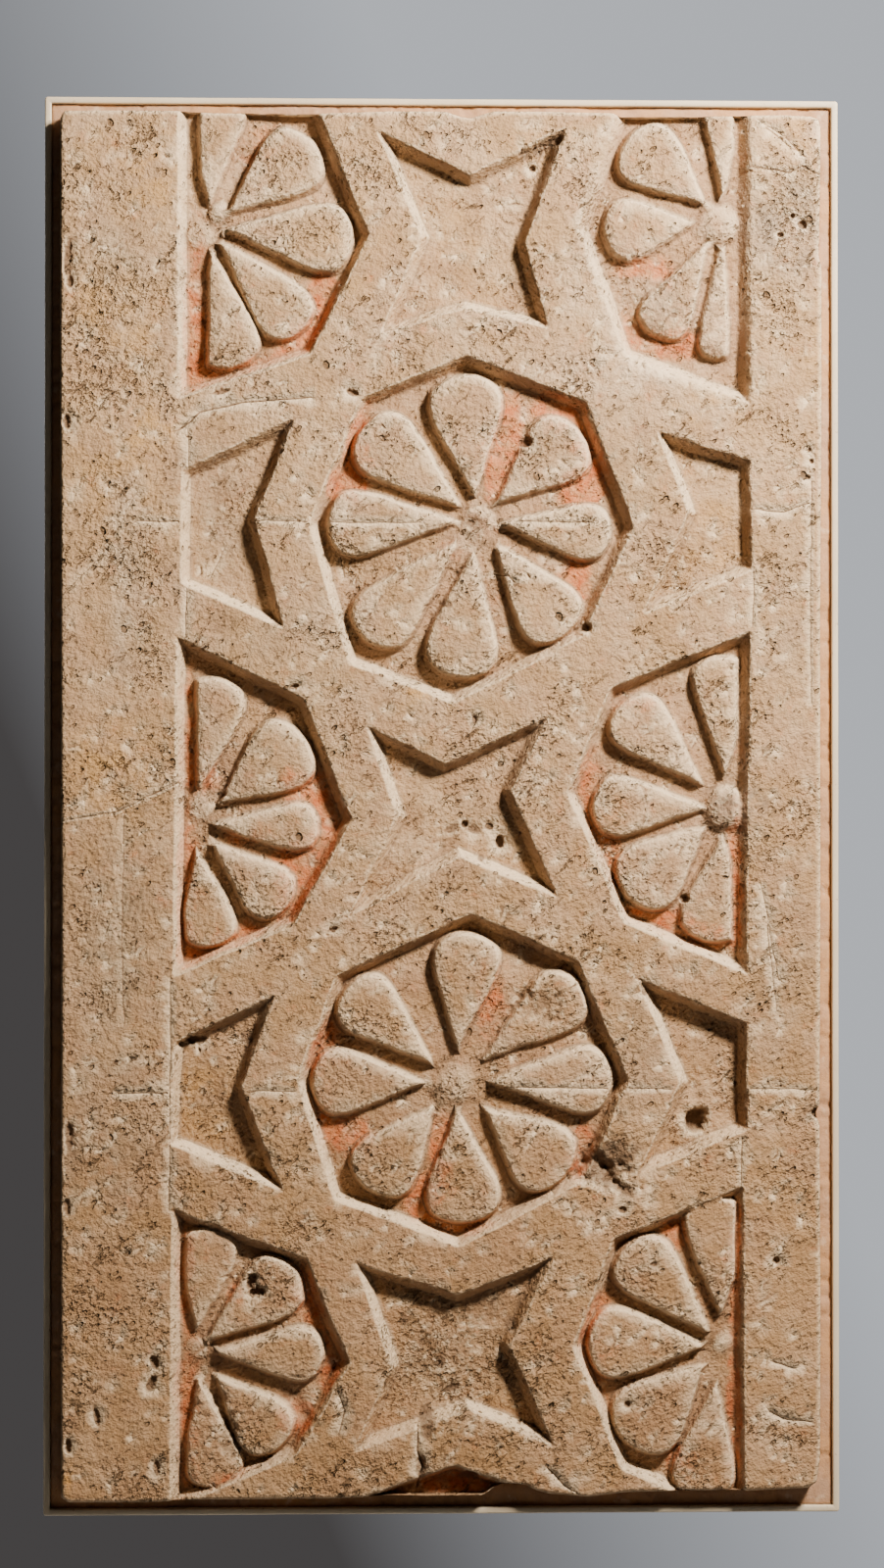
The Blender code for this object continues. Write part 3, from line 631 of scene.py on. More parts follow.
def recess_points(recess):
    """Rows of points along a recess's sides, at set distances in from the mouth, and down its mitres."""
    rows = []
    run = recess.run
    sides = range(len(recess.corners))
    for offset in (-1.3 * MM, -0.2 * MM, 0.5 * MM, run * 0.5, run - 0.5 * MM, run + 0.3 * MM, run + 2.2 * MM):
        for i in sides:
            places = np.arange(-10 * MM, recess.lengths[i] + 10 * MM, EDGE_STEP)
            row = recess.corners[i] + places[:, None] * recess.along[i] + offset * recess.inward[i]
            rows.append(row[np.abs(recess.inside(row) - offset) < 0.25 * MM])
    creases = np.linspace(0, 1, 8) * run
    for i in sides:
        mitre = recess.inward[i - 1] + recess.inward[i]
        mitre = mitre / (mitre @ recess.inward[i])
        rows.append(recess.corners[i] + creases[:, None] * mitre)
    return np.vstack(rows)


def petal_points(petal, recess, others):
    """Rows of points around a petal, at set distances out from its flat top.

    From a far ring and two far lines the place at each distance is found by halving the way in to the
    petal's axis. Places that another petal or the wall takes are left out.
    """
    bevel = petal.bevel
    middle = petal.reach - petal.end_radius
    far = petal.end_radius + 20 * MM
    turn = np.linspace(-1, 1, 181) * math.pi * 0.75
    grid_u = np.arange(petal.start - 8 * MM, petal.reach + 9 * MM, EDGE_STEP)
    aside = (petal.half + 20 * MM) * np.ones_like(grid_u)
    starts = (np.stack([middle + far * np.cos(turn), far * np.sin(turn)], axis=1),
              np.stack([grid_u, aside], axis=1), np.stack([grid_u, -aside], axis=1))
    rows = []
    for offset in (-0.9 * MM, 0.25 * MM, bevel * 0.5, bevel - 0.3 * MM, bevel + 0.5 * MM):
        for start in starts:
            inner = np.stack([np.clip(start[:, 0], petal.start, middle), np.zeros(len(start))], axis=1)
            low, high = np.zeros(len(start)), np.ones(len(start))
            for _ in range(16):
                share = (low + high) / 2
                target = inner + share[:, None] * (start - inner)
                world = petal.centre + target[:, :1] * petal.axis + target[:, 1:] * petal.side
                gap = petal.outside(world)
                high = np.where(gap > offset, share, high)
                low = np.where(gap > offset, low, share)
            rows.append(world[np.abs(gap - offset) < 0.1 * MM])
    points = np.vstack(rows)
    own = petal.outside(points)
    keep = recess.inside(points) > 0.4 * recess.run
    for other in others:
        keep &= other.outside(points) > np.minimum(own, bevel * 0.9) - 0.25 * MM
    return points[keep]


def valley_points(petals):
    """Points along the grooves between neighbouring petals, halfway between their axes."""
    rows = []
    angles = sorted((math.atan2(p.axis[1], p.axis[0]) % (2 * math.pi), i) for i, p in enumerate(petals))
    for (a, i), (b, j) in zip(angles, angles[1:] + [(angles[0][0] + 2 * math.pi, angles[0][1])]):
        if b - a > math.radians(80):
            continue
        middle = (a + b) / 2
        places = np.arange(4 * MM, 80 * MM, EDGE_STEP)
        line = petals[i].centre + places[:, None] * np.array([math.cos(middle), math.sin(middle)])
        gaps = np.array([petals[i].outside(line), petals[j].outside(line)])
        rows.append(line[np.all((gaps < 6 * MM) & (gaps > -1 * MM), axis=0)])
    return np.vstack(rows)


def damage_points():
    """Fine points in and around pits, along cracks and lines, and over the edges of layers."""
    rows = []
    for px, py, rx, ry, turn, *_ in PITS:
        middle = on_plane((px, py))[0]
        c, s = math.cos(math.radians(turn)), math.sin(math.radians(turn))
        for share, count in ((0, 1), (0.4, 5), (0.75, 9), (1.08, 11)):
            angle = np.arange(count) * 2 * math.pi / count + share
            a, b = rx * PIXEL * share * np.cos(angle), ry * PIXEL * share * np.sin(angle)
            rows.append(middle + np.stack([a * c - b * s, a * s + b * c], axis=1))
    for line, half, _ in LINES:
        path = on_plane(line)
        for a, b in zip(path[:-1], path[1:]):
            span = np.linalg.norm(b - a)
            t = np.arange(0, span, EDGE_STEP)[:, None] / span
            side = np.array([-(b - a)[1], (b - a)[0]]) / span
            rows += [a + t * (b - a) + side * offset * half * MM for offset in (-1.05, 0, 1.05)]
    for *path, _, _ in LAYERS:
        line = on_plane(path)
        x = np.arange(line[0, 0], line[-1, 0], 2 * MM)
        z = np.interp(x, line[:, 0], line[:, 1])
        rows += [np.stack([x, z + shift * MM], axis=1) for shift in (2.2, 0.6, -0.8, -2.4)]
    return np.vstack(rows)


def gashes(rng, outline):
    """Short slanting gashes and pores all over the slab: place, direction, length, width and depth."""
    low, high = outline.min(axis=0), outline.max(axis=0)
    place = low + rng.random((GASH_COUNT, 2)) * (high - low)
    place = place[outline_distance(place, outline) > 4 * MM]
    angle = np.radians(GASH_SLANT + 22 * rng.standard_normal(len(place)))
    length = (0.9 + 2.6 * rng.random(len(place)) ** 2) * MM
    width = (0.45 + 0.40 * rng.random(len(place))) * MM
    deep = (0.9 + 1.5 * rng.random(len(place))) * MM
    return place, angle, length, width, deep


def gash_points(place, angle, length, width):
    """Points along and around each gash."""
    c, s = np.cos(angle), np.sin(angle)
    rows = []
    for along, aside in ((-0.5, 0), (0.5, 0), (-1.15, 0), (1.15, 0), (0, 1.3), (0, -1.3)):
        a, b = along * length, aside * width
        rows.append(place + np.stack([a * c - b * s, a * s + b * c], axis=1))
    return np.vstack(rows)


def cell_keys(points, spacing, right=0, up=0):
    """One whole number for the small square that holds each point, or for a square beside it."""
    cells = np.floor(points / spacing).astype(np.int64)
    return (cells[:, 0] + right) * 2000003 + cells[:, 1] + up


def gash_depth(points, place, angle, length, width, deep):
    """Depth of the gashes: a long pit around each, found by sorting the points into square cells and
    looking through the nine cells around each gash."""
    total = np.zeros(len(points))
    key = cell_keys(points, GASH_CELL)
    order = np.argsort(key, kind="stable")
    sorted_key = key[order]
    for right, up in AROUND:
        wanted = cell_keys(place, GASH_CELL, right, up)
        first = np.searchsorted(sorted_key, wanted, "left")
        sizes = np.searchsorted(sorted_key, wanted, "right") - first
        owner = np.repeat(np.arange(len(place)), sizes)
        offset = np.arange(sizes.sum()) - np.repeat(np.cumsum(sizes) - sizes, sizes)
        index = order[first[owner] + offset]
        dx, dz = (points[index] - place[owner]).T
        c, s = np.cos(angle[owner]), np.sin(angle[owner])
        away = np.hypot((dx * c + dz * s) / length[owner], (dz * c - dx * s) / width[owner])
        np.maximum.at(total, index, deep[owner] * (1 - ease(away / 1.25)))
    return total


def thin(points, spacing, taken=None):
    """Drop points that share a small square with an earlier one or lie by one already taken."""
    _, first = np.unique(cell_keys(points, spacing), return_index=True)
    chosen = points[np.sort(first)]
    if taken is None:
        return chosen
    filled = np.concatenate([cell_keys(taken, spacing, right, up) for right, up in AROUND])
    return chosen[~np.isin(cell_keys(chosen, spacing), filled)]


def flat_points(outline, step):
    """Points of an even triangular lattice over the slab, each moved a little at random."""
    low, high = outline.min(axis=0), outline.max(axis=0)
    x, z = np.meshgrid(np.arange(low[0], high[0], step), np.arange(low[1], high[1], step * 0.866))
    x = x + (np.arange(x.shape[0]) % 2)[:, None] * step / 2
    grid = np.stack([x.ravel(), z.ravel()], axis=1)
    return grid + 0.3 * step * np.stack([noise(grid, step * 0.7, 41), noise(grid, step * 0.7, 42)], axis=1)


def slab_surface(points, outline_gap, gash_set):
    """Depth of the slab's front below its foremost plane, and the masks that its finish reads.

    The carving is laid over a slow wander of the face and the chatter of the tools. Damage and gashes
    are cut into that, and the edge all round is a quarter circle, less so where the carving is deep.
    """
    depth, ground, octagon = carving(points)
    wander = 0.55 + 0.28 * noise(points, 62 * MM, 51) + 0.26 * noise(points, 21 * MM, 52)
    chatter = 0.17 * noise(points, 8 * MM, 53) + 0.40 * ground * noise(points, 12 * MM, 54)
    depth = depth + (wander + chatter + 0.12) * MM * (1 + 0.6 * ground)
    depth, dark = damage(points, depth)
    depth = depth + gash_depth(points, *gash_set)
    lean = np.clip(OUTLINE_ROUND - outline_gap, 0, OUTLINE_ROUND)
    rounding = OUTLINE_ROUND - np.sqrt(np.maximum(OUTLINE_ROUND ** 2 - lean ** 2, 0)) * 0.999
    depth = depth + rounding * (1 - 0.85 * ease(depth / (9 * MM)))
    return np.maximum(depth, SKIN), ground, octagon, dark


def mesh_object(name, points, faces, smooth=True):
    """A mesh object at the origin from arrays of corners and faces. The large flat faces that close a
    shape are shaded flat."""
    mesh = bpy.data.meshes.new(name)
    mesh.from_pydata(points, [], faces)
    mesh.validate()
    corners = np.empty(len(mesh.polygons), np.int32)
    mesh.polygons.foreach_get("loop_total", corners)
    mesh.polygons.foreach_set("use_smooth", (corners <= 4) & smooth)
    mesh.update()
    item = bpy.data.objects.new(name, mesh)
    bpy.context.scene.collection.objects.link(item)
    return item


def strips(index):
    """Quads between rows of corner numbers, each row joined to the next all the way round."""
    a, b = index[:-1], index[1:]
    return np.stack([a, b, np.roll(b, -1, axis=1), np.roll(a, -1, axis=1)], axis=-1).reshape(-1, 4)


def closed_profile(name, loops):
    """A closed piece from loops of equal length: quads between them, a flat face on first and last."""
    index = np.arange(len(loops) * len(loops[0])).reshape(len(loops), -1)
    faces = [*strips(index).tolist(), index[0].tolist(), index[-1, ::-1].tolist()]
    return mesh_object(name, np.vstack(loops).tolist(), faces)


def paint(item, name, values, behind):
    """Store one number per corner for the finish to read, and the same one for all corners behind the
    slab's front."""
    whole = np.full(len(item.data.vertices), behind, np.float32)
    whole[:len(values)] = values
    item.data.attributes.new(name, "FLOAT", "POINT").data.foreach_set("value", whole)


def slab_points(outline, ring, gash_set):
    """Points for the slab's front: its ring, rows beside every edge, points close together in pits,
    cracks and broken ground, and a wide lattice on the flats."""
    edge_rows = [recess_points(recess) for recess in RECESS_LIST]
    for recess in RECESS_LIST:
        petals = PETAL_LISTS.get(recess.name, [])
        for petal in petals:
            edge_rows.append(petal_points(petal, recess, [other for other in petals if other is not petal]))
        if petals:
            edge_rows.append(valley_points(petals))
    tangent = np.roll(ring, -1, axis=0) - np.roll(ring, 1, axis=0)
    inward = np.stack([tangent[:, 1], -tangent[:, 0]], axis=1)
    inward /= np.linalg.norm(inward, axis=1)[:, None]
    rim_rows = [ring + inward * inset * MM for inset in (0.35, 1.1, 2.2, 3.6)]
    fine = thin(np.vstack([*rim_rows, damage_points(), gash_points(*gash_set[:4])]), FINE_GAP)
    near = np.vstack([fine, thin(thin(np.vstack(edge_rows), EDGE_GAP), FINE_GAP, fine)])
    broken = flat_points(outline, ROUGH_STEP)
    near = np.vstack([near, thin(broken[blobs(broken, ROUGH, 3.5) > 0.55], ROUGH_GAP, near)])
    points = np.vstack([near, thin(flat_points(outline, FLAT_STEP), FLAT_GAP, near)])
    return np.vstack([ring, points[outline_distance(points, ring) > 0.25 * MM]])


def carved_slab():
    """The slab's front as a depth over points placed along every carved edge, closed by its sides
    and back.

    The points are joined to triangles in the plane, then moved back by the depth and sideways by the
    wander.
    """
    outline = on_plane(OUTLINE)
    ring = resample(outline, RING_STEP)
    gash_set = gashes(np.random.default_rng(7), outline)
    points = slab_points(outline, ring, gash_set)
    border = np.stack([np.arange(len(ring)), np.roll(np.arange(len(ring)), -1)], axis=1)
    points, _, triangles, *_ = delaunay_2d_cdt(points.tolist(), border.tolist(), [], 1, 1e-6)
    points, triangles = np.array(points), np.array(triangles)
    gap = np.maximum(outline_distance(points, ring), 0)
    depth, ground, octagon, dark = slab_surface(points, gap, gash_set)
    fade = ease(gap / (4 * MM))[:, None]
    placed = points * (1 - fade) + warp(points) * fade
    side = placed[triangles[:, 1]] - placed[triangles[:, 0]]
    other = placed[triangles[:, 2]] - placed[triangles[:, 0]]
    flip = side[:, 0] * other[:, 1] - side[:, 1] * other[:, 0] < 0
    triangles[flip] = triangles[flip][:, ::-1]
    item = close_slab(raised(placed, FACE_Y + depth), triangles, ring)
    bend, normals = hollowness(item)
    # Painted highlight on sides that face the key light, painted shade on sides turned from it
    up = normals @ LIGHT_SIDE_WAY
    for name, values, behind in (
            ("lit_side_highlight", past(up, LIGHT_SIDE_GAIN), 0.0),
            ("unlit_side_shade", past(-up, LIGHT_SIDE_GAIN), 0.0),
            # Painted shade in hollows and at the feet of walls, with some dirt
            ("hollow", past(bend, HOLLOW_GAIN), 0.0),
            # Painted highlight on edges that stand out, with some wear
            ("crest", past(-bend, CREST_GAIN), 0.0),
            ("ground", ground, 0.0),
            ("octagon", octagon * ease(depth / (7 * MM)), 0.0),
            ("pigment", blobs(points, PIGMENT, 1.3) * octagon * (0.25 + 0.75 * ease(depth / (8 * MM))), 0.0),
            ("dark", dark, 0.0),
            ("ochre", blobs(points, OCHRE_ZONES, 1.3), 0.2),
            ("grey", blobs(points, GREY_ZONES, 1.2), 0.2),
            ("pitted", blobs(points, PITTED_ZONES, 2.0), 0.3),
            # Pale zones: painted highlight on walls that face the key light, with some paler plaster
            ("pale", blobs(points, PALE_AND_LIT_ZONES, 1.2), 0.0)):
        paint(item, name, values, behind)
    return item, ring


def hollowness(item):
    """How far the neighbours of each corner of a mesh rise above its tangent plane, per length of the
    edges to them: above zero in hollows and grooves, below zero on edges that stand out. The corners'
    normals are given with it."""
    mesh = item.data
    points = np.empty(len(mesh.vertices) * 3)
    mesh.vertices.foreach_get("co", points)
    points = points.reshape(-1, 3)
    normals = np.empty(len(mesh.vertices) * 3)
    mesh.vertices.foreach_get("normal", normals)
    normals = normals.reshape(-1, 3)
    edges = np.empty(len(mesh.edges) * 2, np.int32)
    mesh.edges.foreach_get("vertices", edges)
    start, end = edges.reshape(-1, 2).T
    span = points[end] - points[start]
    span /= np.maximum(np.linalg.norm(span, axis=1), 0.2 * MM)[:, None]
    total = np.bincount(start, np.sum(normals[start] * span, axis=1), len(points))
    total -= np.bincount(end, np.sum(normals[end] * span, axis=1), len(points))
    share = np.bincount(start, minlength=len(points)) + np.bincount(end, minlength=len(points))
    return total / np.maximum(share, 1), normals


def close_slab(front, triangles, ring):
    """Sides and back of the slab: rings of the outline carried back, each with a little shake, and one
    flat face behind."""
    count = len(ring)
    inward = ring.mean(axis=0) - ring
    inward /= np.linalg.norm(inward, axis=1)[:, None]
    rings = []
    for number, level in enumerate((1.2, 4.0, 8.0, 13.0, 20.0)):
        shake = 0.35 * MM * np.abs(noise(ring + number * 9 * MM, 9 * MM, 61)) + 0.2 * MM
        rings.append(raised(ring + inward * shake[:, None], FACE_Y + OUTLINE_ROUND + level * MM))
    rings.append(raised(ring + inward * 0.5 * MM, SLAB_BACK_Y))
    index = np.vstack([np.arange(count), len(front) + np.arange(len(rings) * count).reshape(-1, count)])
    quads = np.roll(strips(index)[:, ::-1], 1, axis=1)
    faces = [*triangles.tolist(), *quads.tolist(), index[-1].tolist()]
    return mesh_object("carved_slab", np.vstack([front, *rings]).tolist(), faces)


def box_loop(left, right, bottom, top, radius, along):
    """A rounded rectangle at given shares of its way round, clockwise from the top left corner.

    Each share is carried along the straight sides, then pulled in to a quarter circle at corners.
    """
    width, height = right - left, top - bottom
    s = along * 2 * (width + height)
    before = [s < width, s < width + height, s < 2 * width + height]
    x = np.select(before, [left + s, right, right - (s - width - height)], left)
    z = np.select(before, [top, top - (s - width), bottom], bottom + (s - 2 * width - height))
    cx = np.clip(x, left + radius, right - radius)
    cz = np.clip(z, bottom + radius, top - radius)
    dx, dz = x - cx, z - cz
    corner = (np.abs(dx) > 1e-9) & (np.abs(dz) > 1e-9)
    scale = np.where(corner, radius / np.maximum(np.hypot(dx, dz), 1e-9), 1.0)
    return np.stack([cx + dx * scale, cz + dz * scale], axis=1)


def shares_round(width, height, step, corner):
    """Shares of the way round a rectangle, at an even step with extra places close to the corners."""
    total = 2 * (width + height)
    corners = np.array([0, width, width + height, 2 * width + height, total]) / total
    near = (corners[:, None] + np.array([-1, -0.8, -0.5, -0.2, 0.2, 0.5, 0.8, 1]) * corner / total).ravel()
    return np.unique(np.round(np.concatenate([np.arange(0, 1, step / total), near % 1.0]), 7))


def painted_tray():
    """The tray as one profile carried round a rectangle: side, softened rim, inner wall and floor."""
    left, rim, bottom = TRAY_LOW
    right, back, top = TRAY_HIGH
    along = shares_round(right - left, top - bottom, 5 * MM, 2.2 * MM)
    # Distance in from the side, depth, radius of the corner
    wall = TRAY_WALL
    profile = ((0.0, back, 1.2), (0.0, -2 * MM, 1.6), (0.0, rim / 2, 1.6), (0.0, rim + 3 * MM, 1.6),
               (0.05 * MM, rim + 0.9 * MM, 1.7), (0.3 * MM, rim + 0.25 * MM, 1.7), (0.9 * MM, rim, 1.5),
               (2.0 * MM, rim, 1.2), (wall - 0.9 * MM, rim, 0.8), (wall - 0.25 * MM, rim + 0.3 * MM, 0.7),
               (wall, rim + 1.0 * MM, 0.6), (wall, rim + 5 * MM, 0.6), (wall, TRAY_FLOOR_Y, 0.6))
    outer_rows, rim_rows = range(6), range(3, 11)
    loops = []
    for number, (inset, y, radius) in enumerate(profile):
        loop = box_loop(left + inset, right - inset, bottom + inset, top - inset, radius * MM, along)
        if number in rim_rows:
            y = y - 0.14 * MM * (noise(loop, 22 * MM, 73) - 1)
        if number in outer_rows:
            shake = 0.10 * MM * (noise(loop, 28 * MM, 71 + number % 2) - 1)
            loop = loop + loop / np.linalg.norm(loop, axis=1)[:, None] * shake[:, None]
        loops.append(raised(loop, y))
    return closed_profile("painted_tray", loops)


def mortar_bed(slab_ring):
    """The mortar as one profile carried round between the tray's inner wall and the slab's outline,
    with shallow cracks across the strip.

    Each place on the slab's outline is paired with the nearest place on the wall, and the four places
    nearest the corners with the corners themselves. The strip's rows are shares of the way between.
    """
    closed = resample(slab_ring, MORTAR_STEP)
    x, z = closed.T
    left, front, bottom = BED_LOW
    right, back, top = BED_HIGH
    outer = np.stack([np.clip(x, left, right), np.clip(z, bottom, top)], axis=1)
    nearest = np.stack([x - left, right - x, z - bottom, top - z]).argmin(axis=0)
    for number, (axis, wall) in enumerate(((0, left), (0, right), (1, bottom), (1, top))):
        outer[nearest == number, axis] = wall
    for corner_x, wall_x in ((x.min(), left), (x.max(), right)):
        for corner_z, wall_z in ((z.min(), bottom), (z.max(), top)):
            off = np.abs(np.stack([x - corner_x, z - corner_z]))
            gap = np.where(np.all(off < CORNER_REACH, axis=0), np.hypot(*off), np.inf)
            outer[np.argmin(gap)] = (wall_x, wall_z)
    away = closed - slab_ring.mean(axis=0)
    inner = closed + away / np.linalg.norm(away, axis=1)[:, None] * 0.25 * MM
    crack = ease((np.abs(noise(closed * 0.4, 5 * MM, 83)) - 0.06) / 0.06)
    loops = [raised(outer, back), raised(outer, front + 4 * MM)]
    for share in (0.0, 0.12, 0.35, 0.6, 0.85, 1.0):
        loop = outer * (1 - share) + inner * share
        swell = 0.5 + 0.5 * noise(loop, 14 * MM, 81) + 0.3 * noise(loop, 5 * MM, 82)
        lip = 1.1 * (share > 0.9) + 0.5 * (share < 0.05)
        loops.append(raised(loop, front + np.maximum(swell + lip + 0.9 * (1 - crack), 0.02) * MM))
    loops += [raised(inner, front + 5 * MM), raised(inner, SLAB_BACK_Y + 0.3 * MM)]
    return closed_profile("mortar_bed", loops)


class Finish:
    """A material built from nodes, with short calls for the nodes that it uses most."""

    def __init__(self, name):
        self.material = bpy.data.materials.new(name)
        self.material.use_nodes = True
        self.tree = self.material.node_tree
        self.shader = self.tree.nodes["Principled BSDF"]
        self.coords = self.tree.nodes.new("ShaderNodeTexCoord").outputs["Object"]

    def set(self, socket, value):
        """Join a value or another node's output to a socket."""
        if isinstance(value, bpy.types.NodeSocket):
            self.tree.links.new(value, socket)
        elif isinstance(value, tuple) and len(value) == 3 and socket.type == "RGBA":
            socket.default_value = (*value, 1.0)
        else:
            socket.default_value = value

    def node(self, kind, **values):
        """A new node with its inputs set or joined by name."""
        item = self.tree.nodes.new(kind)
        for name, value in values.items():
            self.set(item.inputs[name.replace("_", " ")], value)
        return item

    def turned(self, angle, stretch):
        """Object coordinates turned in the plane of the face and stretched."""
        item = self.node("ShaderNodeMapping", Vector=self.coords, Rotation=(0.0, math.radians(angle), 0.0))
        item.vector_type = "TEXTURE"
        item.inputs["Scale"].default_value = stretch
        return item.outputs["Vector"]

    def noise(self, scale, detail=3.0, rough=0.55, vector=None, distort=0.0):
        """Cloudy noise from 0 to 1."""
        return self.node("ShaderNodeTexNoise", Vector=vector or self.coords, Scale=scale, Detail=detail,
                         Roughness=rough, Distortion=distort).outputs["Fac"]

    def pits(self, scale, crowd, widest, vector):
        """Round pits of many widths: a seed in each cell gets a width, and is left out where its own
        random number is above the crowding there."""
        item = self.node("ShaderNodeTexVoronoi", Vector=vector, Scale=scale)
        draw = self.node("ShaderNodeSeparateColor", Color=item.outputs["Color"])
        wide = self.math("MULTIPLY", draw.outputs["Green"], widest)
        share = self.math("DIVIDE", item.outputs["Distance"], self.math("ADD", wide, 0.35 * widest))
        here = self.math("LESS_THAN", draw.outputs["Red"], crowd)
        return self.math("MULTIPLY", self.between(share, 0.6, 1.0, 1.0, 0.0), here)

    def mask(self, name):
        """A number stored on the mesh."""
        item = self.node("ShaderNodeAttribute")
        item.attribute_name = name
        return item.outputs["Fac"]

    def math(self, operation, a, b=0.0, clamp=False):
        """One sum, product or other operation."""
        item = self.node("ShaderNodeMath")
        item.operation = operation
        item.use_clamp = clamp
        self.set(item.inputs[0], a)
        self.set(item.inputs[1], b)
        return item.outputs[0]

    def between(self, value, low, high, out_low=0.0, out_high=1.0):
        """Ease a value from one range to another, held at the ends."""
        item = self.node("ShaderNodeMapRange", Value=value, From_Min=low, From_Max=high,
                         To_Min=out_low, To_Max=out_high)
        item.interpolation_type = "SMOOTHSTEP"
        return item.outputs["Result"]

    def mix(self, share, a, b, kind="MIX"):
        """Mix two colours."""
        item = self.node("ShaderNodeMix")
        item.data_type = "RGBA"
        item.blend_type = kind
        for name, value in (("Factor", share), ("A", a), ("B", b)):
            self.set(item.inputs[name], value)
        return item.outputs["Result"]

    def wash(self, colour, share, strength, shade):
        """Lay a shade over a colour, as much as a share from 0 to 1 says, times a strength."""
        return self.mix(self.math("MULTIPLY", share, strength, True), colour, shade)

    def cloudy(self, scale, detail, rough, low, high, out_low=0.0, out_high=1.0):
        """Clouds from one value to another, sharper the closer the noise's limits are."""
        return self.between(self.noise(scale, detail, rough), low, high, out_low, out_high)

    def bump(self, height, distance, before=None, strength=1.0):
        """Tilt the surface by a height, in metres."""
        item = self.node("ShaderNodeBump", Strength=strength, Distance=distance, Height=height)
        if before:
            self.set(item.inputs["Normal"], before)
        return item.outputs["Normal"]

    def finish(self, colour, roughness, normal, specular=0.25):
        """Join the result to the shader."""
        self.set(self.shader.inputs["Base Color"], colour)
        self.set(self.shader.inputs["Roughness"], roughness)
        self.set(self.shader.inputs["Normal"], normal)
        self.shader.inputs["Specular IOR Level"].default_value = specular
        return self.material


